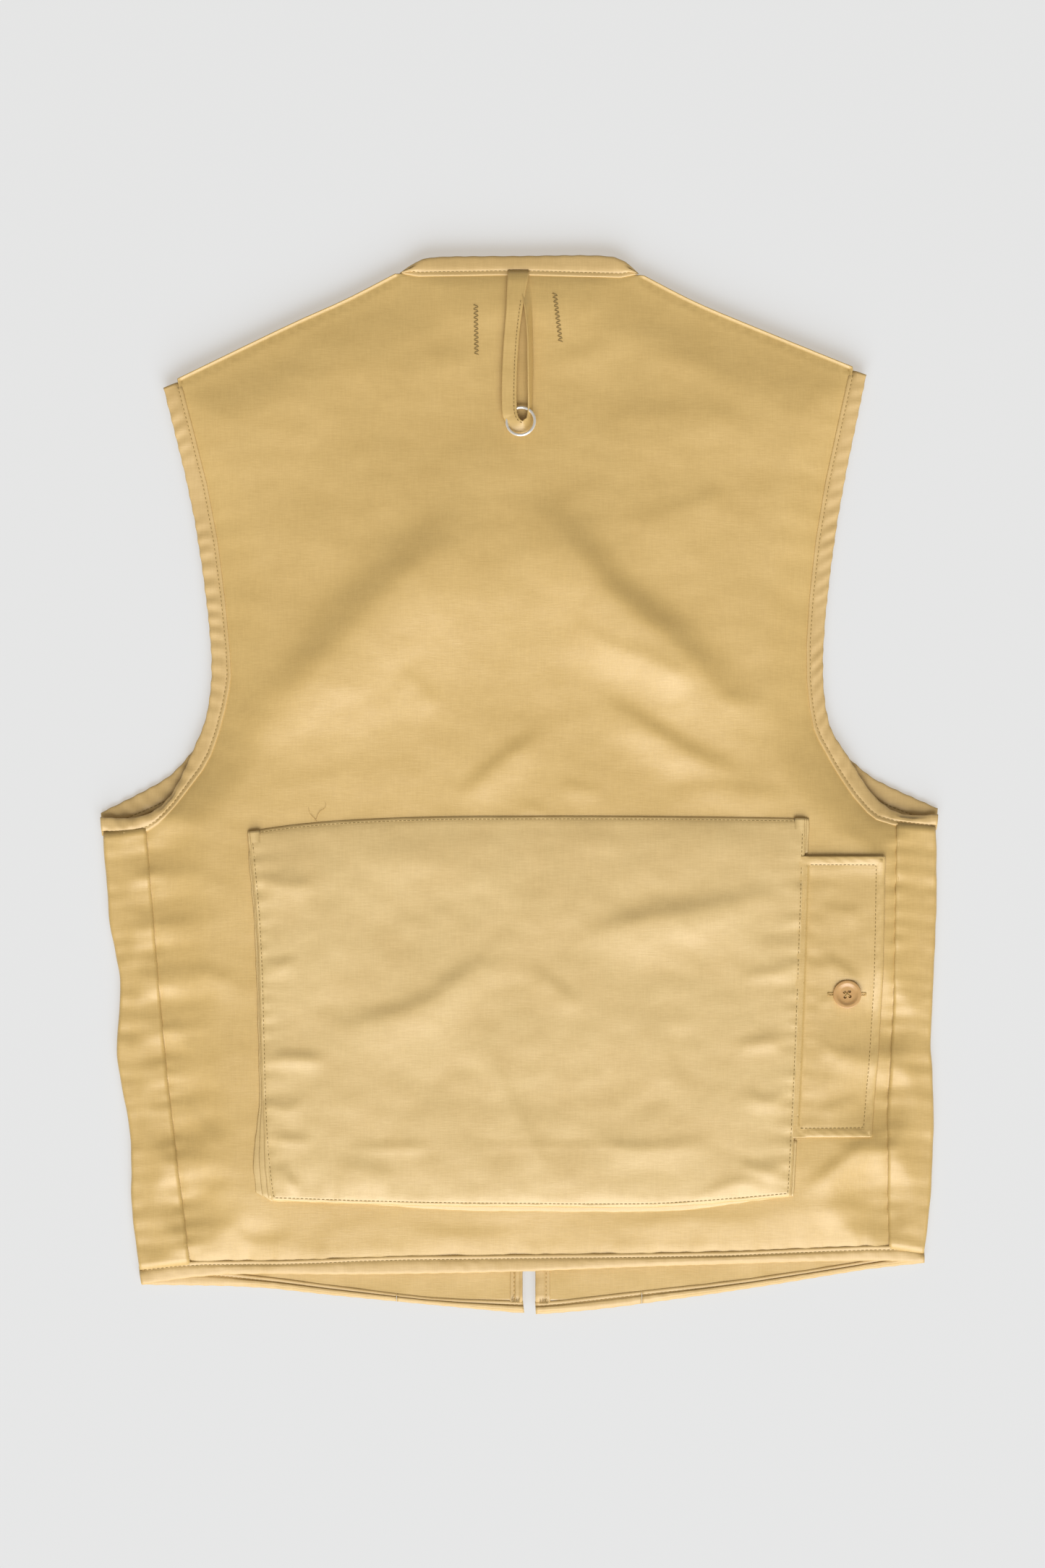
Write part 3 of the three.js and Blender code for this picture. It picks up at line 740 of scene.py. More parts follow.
def put_cloth(name, outline, spacing, heights, material, body, rings=(), thick=CLOTH, extra=()):
    """A sheet of cloth at given heights, thickened away from its face."""
    flat, faces = cloth_sheet(outline, spacing, rings, extra=extra)
    obj = piece(name, np.column_stack([flat, heights(flat)]), faces, material, body)
    finish(obj, "SOLIDIFY", thickness=thick * MM, offset=-1, use_even_offset=False)
    return obj


# ---------------------------------------------------------------- the back
SHOULDER_ROLL = 2.7
NECK_END = 76.0
SHOULDER_LOW = 270.0


def shoulder_lines():
    """The fold of each shoulder: the back's edge from the neck to the armhole."""
    outline = outline_of("back_panel")
    lines = []
    for sign in SIDES.values():
        part = [p for p in outline if sign * p[0] > NECK_END and p[1] > SHOULDER_LOW]
        lines.append(np.array(sorted(part, key=lambda p: abs(p[0]))))
    return lines


SHOULDERS = shoulder_lines()


def rolled_over(xy, radius=SHOULDER_ROLL):
    """How far the cloth has turned down where it folds over a shoulder."""
    drop = np.zeros(len(xy))
    for line in SHOULDERS:
        distance = to_line(xy, line)[0]
        turn = np.clip(radius - distance, 0, radius)
        drop = np.maximum(drop, radius - np.sqrt(np.maximum(radius**2 - turn**2, 0)))
    return drop


def seam_puckers(xy, line, reach, size):
    """Short drag wrinkles that run out from a seam."""
    distance, share, _ = to_line(xy, line)
    run = share * length_of(line)
    wave = np.array([noise.noise((r / 7.5, d / 28, 4.4)) for r, d in zip(run, distance)])
    return size * wave * np.exp(-distance / reach)


def make_back():
    outline = grown(outline_of("back_panel"), 2.2)
    edges = [long_sides(n, "back_panel", c)[0] for n, c in (
        ("hem_binding_back", 4), ("armhole_binding_back_left", 4), ("armhole_binding_back_right", 4),
        ("neck_binding_back", 2))]

    def heights(xy):
        tuck = np.zeros(len(xy))
        for line in edges:
            tuck += 0.9 * np.exp(-to_line(xy, line)[0] / 1.6)
        z = back_height(xy) - tuck - rolled_over(xy)
        for seam, _ in SIDE_SEAMS.values():
            z += seam_puckers(xy, seam, 18, 1.25) - 1.3 * np.exp(-to_line(xy, seam)[0] / 1.4)
        z += seam_puckers(xy, edges[0], 9, 0.9)
        return z

    obj = put_cloth("back_panel_cloth", outline, 3.6, heights, SATEEN, "vest",
                    rings=(0.7, 1.6, 2.8))
    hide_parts("back_panel")


SIDE_SEAMS = {side: long_sides(f"side_panel_{side}", "back_panel") for side in SIDES}


def gap_between(xy):
    """Half the hollow between the middles of the back and the front."""
    return (back_height(xy) - CLOTH / 2 - front_height(xy)) / 2


def meeting(xy, reach=6.0):
    """1 where back and front meet at an outer fold, falling to 0 away from it."""
    lines = SHOULDERS + [fold for _, fold in SIDE_SEAMS.values()]
    distance = np.min([to_line(xy, line)[0] for line in lines], axis=0)
    return smooth(1 - distance / reach)


def back_tape_height(xy):
    return back_height(xy) - CLOTH / 2 - meeting(xy) * gap_between(xy)


def front_tape_height(xy):
    return front_height(xy) + meeting(xy) * gap_between(xy)


THREAD_RISE = 0.25      # of the stitches on a tape


def on_back_tape(xy):
    return back_tape_height(xy) + THREAD_RISE


def on_front_tape(xy):
    return front_tape_height(xy) + THREAD_RISE


def make_back_tapes():
    shapes = {
        "neck_binding_back": {"corners": 2, "seed": 1.0, "stretch": 0.2, "thick": 2.0, "roll": 0.25},
        "hem_binding_back": {"seed": 2.0, "stretch": 0.2},
        "armhole_binding_back_left": {"seed": 3.0},
        "armhole_binding_back_right": {"seed": 4.0},
    }
    runs = [tape(f"{name}_tape", [name], "back_panel", back_tape_height, "vest", **shape)[1]
            for name, shape in shapes.items()]
    stitches("back_tape_stitches", runs, on_back_tape, "vest", DARK_THREAD)


def make_side_panel(side):
    seam, fold = SIDE_SEAMS[side]
    count = round(length_of(seam) / 2.6)
    seam, fold = even(seam, count), even(rounded(fold, 60), count)
    for line in (seam, fold):
        line[0] += (line[0] - line[1]) * 0.9
        line[-1] += (line[-1] - line[-2]) * 0.9
    out = fold - seam
    width = np.linalg.norm(out, axis=1)
    out /= width[:, None]
    half = gap_between(fold - 4 * out) + CLOTH / 2
    run = np.linspace(0, length_of(seam), count)
    bulge = 0.7 * np.array([noise.noise((r / 17, 3.3 * SIDES[side], 0.2)) for r in run])
    rings = []
    for share in np.linspace(0, 1, 11):
        line = seam + out * (width - half)[:, None] * share
        reach = share * width
        wave = 0.6 * np.array([noise.noise((r / 24, w / 22, 8.4)) for r, w in zip(run, reach)])
        edge = 0.35 * np.exp(-reach / 1.2) - 0.5 * np.exp(-reach / 0.25)
        drag = seam_puckers(line, seam, 18, 1.25) + seam_puckers(line, fold, 9, 1.1) * smooth(reach / 5)
        z = back_height(line) + drag + wave * smooth(reach / 8) + edge
        rings.append(np.column_stack([line, z]))
    top_end = rings[-1]
    low_line = seam + out * (width - half)[:, None]
    low = front_height(low_line) - CLOTH / 2
    for angle in np.linspace(0, math.pi, 11)[1:-1]:
        line = low_line + out * ((half + bulge) * math.sin(angle))[:, None]
        z = (top_end[:, 2] + low) / 2 + (top_end[:, 2] - low) / 2 * math.cos(angle)
        rings.append(np.column_stack([line, z]))
    for share in np.linspace(1, 0, 8):
        line = seam + out * (width - half)[:, None] * share
        rings.append(np.column_stack([line, front_height(line) - CLOTH / 2]))
    points = np.stack(rings, axis=1).reshape(-1, 3)
    faces = strip_faces(count, len(rings))
    obj = piece(f"side_panel_{side}_cloth", points, faces, SATEEN, "vest")
    face_up(obj)
    finish(obj, "SOLIDIFY", thickness=CLOTH * MM, offset=-1, use_even_offset=False)
    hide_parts(f"side_panel_{side}")
    length_of(seam) * MM


def face_up(obj, up=1):
    """Turns a sheet's faces over if its first ones look the wrong way."""
    first = sum(face.normal.z for face in list(obj.data.polygons)[:8])
    if first * up < 0:
        obj.data.flip_normals()


# ---------------------------------------------------------------- the fronts
def joined_outline(side):
    """One outline round the fixed part and the opening leaf of a front."""
    sign = SIDES[side]
    fold_x = abs(box(f"front_panel_{side}")[0 if sign > 0 else 1][0])
    loops = []
    for node_name in (f"front_panel_{side}", f"front_leaf_{side}"):
        loop = outline_of(node_name, facing=-1)
        on_fold = np.abs(np.abs(loop[:, 0]) - fold_x) < 0.6
        first = next(i for i in range(len(loop)) if on_fold[i - 1] and not on_fold[i])
        loop = np.roll(loop, -first, axis=0)
        on_fold = np.roll(on_fold, -first)
        loops.append(loop[~on_fold])
    return np.vstack(loops)


def front_cloth_height(xy):
    return front_height(xy) + rolled_over(xy)


def bend_open(obj):
    """A piece that runs from the fixed part of a front on to its opening leaf."""
    obj.parent = None
    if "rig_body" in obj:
        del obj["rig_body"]
    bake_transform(obj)


def front_tape(side, name, panel, body, **shape):
    """A tape along an edge of a front, and its stitch line. Without a body it rides on none and stays where
    it lies.
    """
    strip, line = tape(f"{name}_{side}_tape", [f"{name}_{side}"], f"{panel}_{side}",
                       front_tape_height, body, **shape)
    if body is None:
        bend_open(strip)
    return line


def front_stitches(side, name, line, body, thread=None):
    sewn = stitches(f"{name}_{side}_stitches", [line], on_front_tape, body, thread)
    if body is None:
        bend_open(sewn)


def make_front(side):
    outline = grown(joined_outline(side), 1.8)

    def heights(xy):
        return front_cloth_height(xy) + 0.25 * rumple(xy, 18, 12, 6.6)

    obj = put_cloth(f"front_{side}_cloth", outline, 4.4, heights, SATEEN, None,
                    rings=(0.8, 2.0, 3.4))
    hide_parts(f"front_panel_{side}", f"front_leaf_{side}")
    bend_open(obj)
    body = f"front_{side}"
    armhole = front_tape(side, "armhole_binding_front", "front_panel", "vest", seed=5.5)
    front_stitches(side, "armhole_front", armhole, "vest", DARK_THREAD)
    hem = front_tape(side, "hem_binding_front", "front_panel", "vest", seed=6.5, stretch=0.3)
    leaf_hem = front_tape(side, "leaf_hem_binding", "front_leaf", None, seed=6.5, stretch=0.3)
    front_stitches(side, "hem_front", hem, "vest")
    front_stitches(side, "leaf_hem", leaf_hem, None)
    neck = front_tape(side, "neck_binding", "front_leaf", None, seed=7.5)
    front_stitches(side, "neck", neck, None)
    facing = front_tape(side, "front_facing", "front_leaf", body, seed=8.5, stretch=0.15, thick=1.6,
                        overrun=0.9)
    front_stitches(side, "front_facing", facing, body)
    make_raw_ends(side)


CLOSURES = 4
CLOSURE_HOLE = 22.0
TAPE_BACK = 1.75        # from the face of a tape to its other side


def middle_of(node_name):
    low, high = box(node_name)
    return (low + high) / 2


def make_closure_buttonholes():
    """The left front's four buttonholes, across its facing."""
    x = middle_of("front_facing_left")[0]
    for i in range(1, CLOSURES + 1):
        y = middle_of(f"closure_button_{i}")[1]
        buttonhole(f"closure_buttonhole_{i}", (x, y), (1, 0), CLOSURE_HOLE, 3.0,
                   lambda xy: front_tape_height(xy) - TAPE_BACK, "front_left", DARK_THREAD, up=-1)


def loose_threads(name, threads, heights, body, radius=0.17, material=None):
    """Ends of yarn that lie curled on the cloth: start, heading in degrees and length of each."""
    points = []
    faces = []
    sides = 5
    steps = 9
    for index, (x, y, heading, length) in enumerate(threads):
        first = len(points)
        for step in range(steps):
            share = step / (steps - 1)
            angle = math.radians(heading + 55 * share * noise.noise((index * 1.7, share * 1.5, 3.3)))
            cx = x + math.cos(angle) * length * share
            cy = y + math.sin(angle) * length * share
            z = float(heights(np.array([(cx, cy)]))[0]) + 0.2 + 0.5 * math.sin(share * math.pi)
            fat = radius * (1 - 0.6 * share)
            for k in range(sides):
                turn = TAU * k / sides
                points.append((cx - math.sin(angle) * fat * math.cos(turn),
                               cy + math.cos(angle) * fat * math.cos(turn), z + fat * math.sin(turn)))
        faces += [[first + i for i in face][::-1] for face in tube_faces(steps, sides)]
    return piece(name, points, faces, material or THREAD, body)


RAW_YARNS = 11


def make_raw_ends(side):
    """Frayed yarn at the cut end of a front's hem tape, beside its opening."""
    low, high = box(f"leaf_hem_binding_{side}")
    sign = SIDES[side]
    inner = (high if sign < 0 else low)[0]
    tufts = []
    for i in range(RAW_YARNS):
        x = inner + sign * (3.5 + 0.55 * i)
        y = low[1] + 7.5 + 0.5 * noise.noise((i * 0.9, sign, 0.2))
        heading = 90 + 34 * noise.noise((i * 1.3, sign, 5.1))
        tufts.append((x, y, heading, 3.2 + 2.4 * noise.noise((i, 0.4, sign))))
    loose_threads(f"raw_ends_{side}", tufts, lambda xy: front_tape_height(xy) + 1.0, f"front_{side}",
                  material=DARK_THREAD)


def buttonhole(name, centre, direction, length, width, heights, body, material=None, up=1):
    """A worked buttonhole: close stitches across both lips and a bar at each end."""
    direction = np.array(direction, float)
    across = np.array([-direction[1], direction[0]])
    centre = np.array(centre, float)
    runs = []
    for side in (-1, 1):
        for share in np.linspace(-0.5, 0.5, round(length / 0.75)):
            middle = centre + direction * share * length + across * side * width * 0.27
            runs.append([middle - across * width * 0.2, middle + across * width * 0.2])
    for end in (-1, 1):
        for shift in (-0.3, 0, 0.3):
            middle = centre + direction * (end * length / 2 + shift)
            runs.append([middle - across * width * 0.5, middle + across * width * 0.5])
    return stitches(name, runs, heights, body, material, pitch=9, radius=0.3, share=0.95, up=up)


# ---------------------------------------------------------------- buttons
def button_blank():
    """A four-hole button at the origin, its face up: a dished middle inside a round rim."""
    radius, thick = box("cargo_button")[1][0] - box("cargo_button")[0][0], 2.4
    radius /= 2
    bpy.ops.object.select_all(action="DESELECT")
    bpy.ops.mesh.primitive_cylinder_add(vertices=72, radius=radius * MM, depth=thick * MM,
                                        location=(0, 0, thick / 2 * MM))
    obj = bpy.context.object
    bpy.ops.object.transform_apply(location=True)
    bpy.ops.object.mode_set(mode="EDIT")
    bpy.ops.mesh.select_all(action="DESELECT")
    bpy.ops.object.mode_set(mode="OBJECT")
    for face in obj.data.polygons:
        face.select = face.normal.z > 0.9
    bpy.ops.object.mode_set(mode="EDIT")
    bpy.ops.mesh.inset(thickness=0.9 * MM, depth=0.0)
    bpy.ops.mesh.inset(thickness=0.9 * MM, depth=0.12 * MM)
    bpy.ops.mesh.inset(thickness=0.7 * MM, depth=-0.15 * MM)
    bpy.ops.mesh.inset(thickness=0.8 * MM, depth=-0.75 * MM)
    bpy.ops.mesh.inset(thickness=1.6 * MM, depth=-0.14 * MM)
    bpy.ops.object.mode_set(mode="OBJECT")
    finish(obj, "BEVEL", width=0.55 * MM, segments=3, limit_method="ANGLE", angle_limit=math.radians(50))
    pitch = 1.725
    for x, y in ((-pitch, -pitch), (pitch, -pitch), (-pitch, pitch), (pitch, pitch)):
        bpy.ops.object.select_all(action="DESELECT")
        bpy.ops.mesh.primitive_cylinder_add(vertices=20, radius=1.1 * MM, depth=9 * MM,
                                            location=(x * MM, y * MM, 0))
        drill = bpy.context.object
        finish(obj, "BOOLEAN", operation="DIFFERENCE", object=drill, solver="EXACT")
        bpy.data.objects.remove(drill)
    bpy.ops.object.select_all(action="DESELECT")
    obj.select_set(True)
    bpy.context.view_layer.objects.active = obj
    bpy.ops.object.shade_smooth_by_angle(angle=math.radians(40))
    obj.data.materials.clear()
    obj.data.materials.append(UREA)
    return obj


def make_button(blank, node_name, body, up, lift=0.0, turn=0.0):
    low, high = box(node_name)
    x, y = (low + high)[:2] / 2
    base = (high[2] - 2.4 if up > 0 else low[2] + 2.4) + lift
    obj = bpy.data.objects.new(f"{node_name}_disc", blank.data.copy())
    bpy.context.scene.collection.objects.link(obj)
    thread_rows = [[(-1.7, -1.7), (1.7, 1.7)], [(-1.7, 1.7), (1.7, -1.7)]]
    cross = stitches(f"{node_name}_thread", thread_rows, lambda xy: np.full(len(xy), 1.75), None,
                     pitch=6, radius=0.42, share=1.0)
    cos, sin = math.cos(turn), math.sin(turn)
    spin = np.array([[cos, -sin, 0], [sin, cos, 0], [0, 0, 1]])
    for each in (obj, cross):
        co = np.array([v.co for v in each.data.vertices])
        co = co @ spin.T * np.array([1, up, up]) + np.array([x, y, base]) * MM
        each.data.vertices.foreach_set("co", co.ravel())
        each.data.update()
        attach(each, body)
    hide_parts(node_name)
    return obj


# ---------------------------------------------------------------- front pockets
POCKETS = ("chest_left", "chest_right", "lower_left", "lower_right")
POCKET_ROLL = 6.5       # radius of a pocket's sides
POCKET_ROW = 9.0        # of a pocket's stitches from its edge
FLAP_ROW = 6.0


def rectangle(low, high):
    return np.array([(low[0], low[1]), (high[0], low[1]), (high[0], high[1]), (low[0], high[1])])


def but_the_top(loop):
    """A rectangle's left, bottom and right sides."""
    return np.array([loop[3], loop[0], loop[1], loop[2]])


def face_down_cloth(name, outline, spacing, rings, heights, material, body, thick=CLOTH):
    """A cloth whose right side faces down."""
    flat, faces = cloth_sheet(outline, spacing, rings)
    obj = piece(name, np.column_stack([flat, heights(flat)]), [face[::-1] for face in faces],
                material, body)
    finish(obj, "SOLIDIFY", thickness=thick * MM, offset=-1, use_even_offset=False)
    return obj


def make_front_pocket(name):
    low, high = box(f"{name}_pocket")
    outline = rectangle(low, high)
    sewn = but_the_top(outline)
    depth = high[2] - low[2]

    def heights(xy):
        distance = to_line(xy, sewn)[0]
        turn = np.clip(distance / POCKET_ROLL, 0, 1)
        wall = depth * np.sqrt(1 - (1 - turn) ** 2)
        ditch = 0.35 * np.exp(-((distance - POCKET_ROW) ** 2))
        return high[2] - wall + ditch + seam_puckers(xy, sewn, 14, 0.8) + 0.35 * rumple(xy, 26, 18, 1.7)

    obj = face_down_cloth(f"{name}_pocket_cloth", outline, 4.2, (0.35, 1.0, 2.0, 3.4, 5.0), heights,
                          POCKET_SATEEN_PAINTED_LIGHTER, "vest")
    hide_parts(f"{name}_pocket")
    row = grown(outline, -POCKET_ROW)
    stitches(f"{name}_pocket_stitches", [but_the_top(row)], heights, "vest", up=-1)
    make_pocket_flap(name, mouth=high[1])


def make_pocket_flap(name, mouth):
    low, high = box(f"{name}_flap")
    outline = rectangle(low, high)
    free = but_the_top(outline)

    def heights(xy):
        rise = (high[2] - low[2] - CLOTH) * smooth((xy[:, 1] - mouth) / (high[1] - mouth))
        distance, share, _ = to_line(xy, free)
        run = share * length_of(free)
        pucker = 0.25 * np.sin(run / 9.5 * TAU + distance) * smooth((FLAP_ROW - distance) / 3) * (rise < 0.5)
        ditch = 0.3 * np.exp(-(((distance - FLAP_ROW) / 0.8) ** 2))
        return low[2] + rise + ditch + pucker

    body = f"{name}_flap"
    obj = face_down_cloth(f"{name}_flap_cloth", outline, 3.6, (0.6, 1.4, 3.0, 5.2, 6.0, 6.8), heights,
                          FLAP_SATEEN, body)
    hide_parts(f"{name}_flap")
    row = grown(outline, -FLAP_ROW)
    stitches(f"{name}_flap_stitches", [but_the_top(row)], heights, body, up=-1)
    buttonhole(f"{name}_flap_buttonhole", middle_of(f"{name}_button")[:2], (0, 1), 24, 3.2, heights,
               body, up=-1)


# ---------------------------------------------------------------- the cargo pocket
def four_sides(loop):
    """The left, bottom, right and top edges of a four-cornered loop, counter-clockwise."""
    before = loop - np.roll(loop, 1, axis=0)
    after = np.roll(loop, -1, axis=0) - loop
    turn = np.arctan2(
        before[:, 0] * after[:, 1] - before[:, 1] * after[:, 0], (before * after).sum(1))
    picked = sorted(np.argsort(-np.abs(turn))[:4])
    runs = [loop[[i % len(loop) for i in range(a, b + 1)]]
            for a, b in zip(picked, picked[1:] + [picked[0] + len(loop)])]
    centres = [even(run, 20).mean(0) for run in runs]
    left = runs[min(range(4), key=lambda i: centres[i][0])]
    right = runs[max(range(4), key=lambda i: centres[i][0])]
    bottom = runs[min(range(4), key=lambda i: centres[i][1])]
    top = runs[max(range(4), key=lambda i: centres[i][1])]
    return left, bottom, right, top


CARGO_LEFT, CARGO_BOTTOM, CARGO_RIGHT, CARGO_TOP = four_sides(POCKET_EDGE)
CARGO_FOLDS = [
    ([(-182, -66), (-160, -70), (-139, -68)], 7, 1.4),
    ([(30, -112), (80, -96), (136, -86), (191, -74)], 14, 3.0),
    ([(-140, -172), (-100, -163), (-59, -150), (-34, -131), (2, -121)], 13, 2.6),
    ([(6, -126), (24, -140), (44, -158)], 9, 1.3),
    ([(-180, -190), (-158, -188), (-130, -192)], 6, 1.6),
    ([(-182, -120), (-168, -124), (-150, -120)], 5, 1.0),
    ([(-178, -220), (-162, -224), (-146, -218)], 5, 1.1),
    ([(-176, -244), (-156, -245), (-139, -246)], 5, 1.2),
    ([(-122, -251), (-90, -250), (-56, -250)], 4, 0.9),
    ([(-60, -250), (20, -249), (131, -250)], 2.5, 0.35),
    ([(144, -181), (165, -178), (188, -176)], 6, 1.4),
    ([(40, -241), (76, -252), (110, -250), (142, -246)], 9, 1.5),
    ([(150, -132), (170, -130), (194, -128)], 5, 1.0),
    ([(152, -212), (172, -218), (190, -212)], 6, 1.4),
    ([(148, -261), (168, -266), (188, -268)], 6, 1.8),
    ([(114, -290), (132, -282), (151, -275), (183, -284)], 6, 1.4),
    ([(-170, -262), (-160, -272), (-150, -286)], 6, 1.8),
    ([(-130, -268), (-104, -266), (-84, -276)], 11, 1.2),
    ([(-30, -150), (-17, -197), (8, -247), (26, -284)], 9, 1.0),
    ([(90, -150), (100, -190), (120, -220)], 14, 1.0),
]
SEWN_LIFT = 1.3         # of the pocket's edge over the back, where it is sewn straight on
BELLOWS_LIFT = 3.7      # and where its pleated wall lies folded under it
FULL_LIFT = 5.0


def cargo_height(xy):
    """Top of the pocket's face."""
    xy = np.asarray(xy, float)
    top = to_line(xy, CARGO_TOP)[0]
    pleated = np.min([to_line(xy, line)[0] for line in (CARGO_LEFT, CARGO_BOTTOM, CARGO_RIGHT)], axis=0)
    sides = FULL_LIFT - (FULL_LIFT - BELLOWS_LIFT) * np.exp(-pleated / 12)
    lift = SEWN_LIFT + (sides - SEWN_LIFT) * (1 - np.exp(-top / 15))
    edge = np.minimum(top, pleated)
    turned = 0.9 * (1 - smooth(edge / 1.3))
    ditch = 0.38 * np.exp(-(((edge - 2.1) / 0.75) ** 2))
    gathers = 0.0
    for line, size in ((CARGO_LEFT, 1.5), (CARGO_RIGHT, 1.6), (CARGO_BOTTOM, 0.9), (CARGO_TOP, 0.4)):
        gathers = gathers + seam_puckers(xy, line, 11, size)
    uneven = 0.7 * rumple(xy, 48, 34, 11.3) + 0.25 * rumple(xy, 17, 12, 12.9)
    settled = smooth(edge / 16)
    return (back_height(xy) + lift - turned - ditch + gathers * smooth(edge / 2.5)
            + folds(xy, CARGO_FOLDS) * (0.25 + 0.75 * settled) + uneven * settled)


def make_cargo_face():
    outline = np.vstack([rounded(run, 40)[:-1] if len(run) > 2 else run[:-1]
                         for run in (CARGO_LEFT, CARGO_BOTTOM, CARGO_RIGHT, CARGO_TOP)])
    # Its cloth is painted lighter than the back's: painted light.
    obj = put_cloth("cargo_pocket_cloth", outline, 3.3, cargo_height, POCKET_SATEEN_PAINTED_LIGHTER,
                    "vest", rings=(0.35, 0.8, 1.4, 2.1, 2.8, 3.8))
    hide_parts("cargo_pocket_face")
    row = grown(even(closed(outline), 420)[:-1], -2.1)
    stitches("cargo_pocket_stitches", [closed(row)], lambda xy: cargo_height(xy) + 0.1, "vest",
             DARK_THREAD, pitch=2.9)


def make_cargo_gusset():
    """Bellows folded under the pocket's edge, whose corner has sprung open."""
    left, bottom, right = (spaced(rounded(run, 60), 1.8) for run in (CARGO_LEFT, CARGO_BOTTOM, CARGO_RIGHT))
    flap_low, flap_high = box("cargo_flap")
    stations = []
    for run, way in ((left, "left"), (bottom, "bottom"), (right, "right")):
        steps = np.gradient(run, axis=0)
        steps /= np.linalg.norm(steps, axis=1)[:, None]
        for i, (place, step) in enumerate(zip(run, steps)):
            share = i / (len(run) - 1)
            out = np.array([step[1], -step[0]])
            fan = 0.0
            if way == "left":
                fan = 8.2 * smooth((share - 0.70) / 0.27)
                shown = (1.9 * smooth(share / 0.1), 0.7, -1.0)
            elif way == "bottom":
                shown = (0.2 + 3.4 * smooth((share - 0.12) / 0.3) * smooth((1.02 - share) / 0.25), 0.3, -1.0)
            else:
                in_mouth = flap_low[1] - 2 < place[1] < flap_high[1] + 2
                shown = (-2.5, -2.8, -3.2) if in_mouth else (2.2, 0.6, -1.0)
            stations.append((place, out, fan, shown))
    section = []
    for layer in range(3):
        level = 0.3 + 0.85 * layer
        section += [(layer, -7.0, level), (layer, -0.5, level), (layer, 0.0, level + 0.25),
                    (layer, -0.5, level + 0.5), (layer, -6.6, level + 0.6)]
    points = []
    for i, (place, out, fan, shown) in enumerate(stations):
        base = place
        ground = float(back_height([base])[0])
        for layer, inset, level in section:
            spread = fan * (1, 0.62, 0.3)[layer]
            ripple = 0.45 * noise.noise((i / 4.5, layer * 3.7, 0.4))
            reach = shown[layer] + inset + ripple
            x, y = base + out * reach + np.array([-spread, 0.68 * spread])
            points.append((x, y, ground + level * (1 + 0.25 * fan / 8)))
    faces = strip_faces(len(stations), len(section))
    obj = piece("cargo_gusset_cloth", points, faces, POCKET_SATEEN_PAINTED_LIGHTER, "vest")
    face_up(obj)
    finish(obj, "SOLIDIFY", thickness=0.45 * MM, offset=0, use_even_offset=False)
    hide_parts("cargo_gusset")


FLAP_FOLDS = [
    ([(206, -84), (225, -88), (240, -86)], 7, 0.9),
    ([(204, -118), (224, -128), (236, -140)], 7, 1.3),
    ([(202, -176), (222, -186), (240, -184)], 7, 1.2),
    ([(204, -226), (222, -222), (238, -214)], 6, 0.9),
    ([(204, -152), (212, -149), (220, -146)], 4, 0.6),
]
FLAP_HEM = 6.2
FLAP_TWIST = 9.5        # from one askew pucker of the hem to the next


FLAP_OUTLINE = outline_of("cargo_flap", height=box("cargo_flap")[0][2] + CLOTH)
FLAP_ROOT = FLAP_OUTLINE[:, 0].min()


def pocket_edge_x(y):
    """Where the pocket's right edge is at a height up the back."""
    order = np.argsort(CARGO_RIGHT[:, 1])
    return np.interp(y, CARGO_RIGHT[order, 1], CARGO_RIGHT[order, 0])


def flap_height(xy):
    """Top of the cargo pocket's flap."""
    xy = np.asarray(xy, float)
    out = xy[:, 0] - pocket_edge_x(xy[:, 1])
    root = 1.75 * smooth((3.4 - out) / 1.2) + 0.35 * np.exp(-(((out - 1.8) / 0.7) ** 2))
    free = flap_free_edge()
    distance, share, _ = to_line(xy, free)
    run = share * length_of(free)
    askew = np.sin(run / FLAP_TWIST * TAU + distance * 0.9 + 1.5 * wavering(run, 30, 2.2, 0.1))
    hem = smooth((FLAP_HEM - distance) / 1.2)
    pucker = 0.13 * askew * hem * smooth(distance / 1.5) * smooth((out - 6) / 6)
    ditch = 0.26 * np.exp(-(((distance - FLAP_HEM) / 0.8) ** 2))
    edge = 0.6 * (1 - smooth(distance / 1.1))
    uneven = 0.5 * rumple(xy, 30, 22, 21.3) + 0.15 * rumple(xy, 11, 8, 22.9)
    drag = seam_puckers(xy, CARGO_RIGHT, 12, 1.2) * smooth((out - 3) / 4)
    perked = 1.5 * smooth((xy[:, 1] - FLAP_OUTLINE[:, 1].max() + 16) / 16) * smooth((out - 1) / 4)
    return (back_height(xy) + 1.5 + 0.2 * hem + perked + root - ditch - edge + pucker
            + (folds(xy, FLAP_FOLDS) + uneven + drag) * smooth(distance / 12))


def flap_free_edge():
    """The flap's bottom, outer and top edges in one line."""
    corner = FLAP_OUTLINE[:, 0] > FLAP_ROOT + 1
    rest = FLAP_OUTLINE[corner]
    low_root = FLAP_OUTLINE[~corner][np.argmin(FLAP_OUTLINE[~corner][:, 1])]
    high_root = FLAP_OUTLINE[~corner][np.argmax(FLAP_OUTLINE[~corner][:, 1])]
    order = rest[np.argsort(rest[:, 1])]
    return np.vstack([low_root, order, high_root])


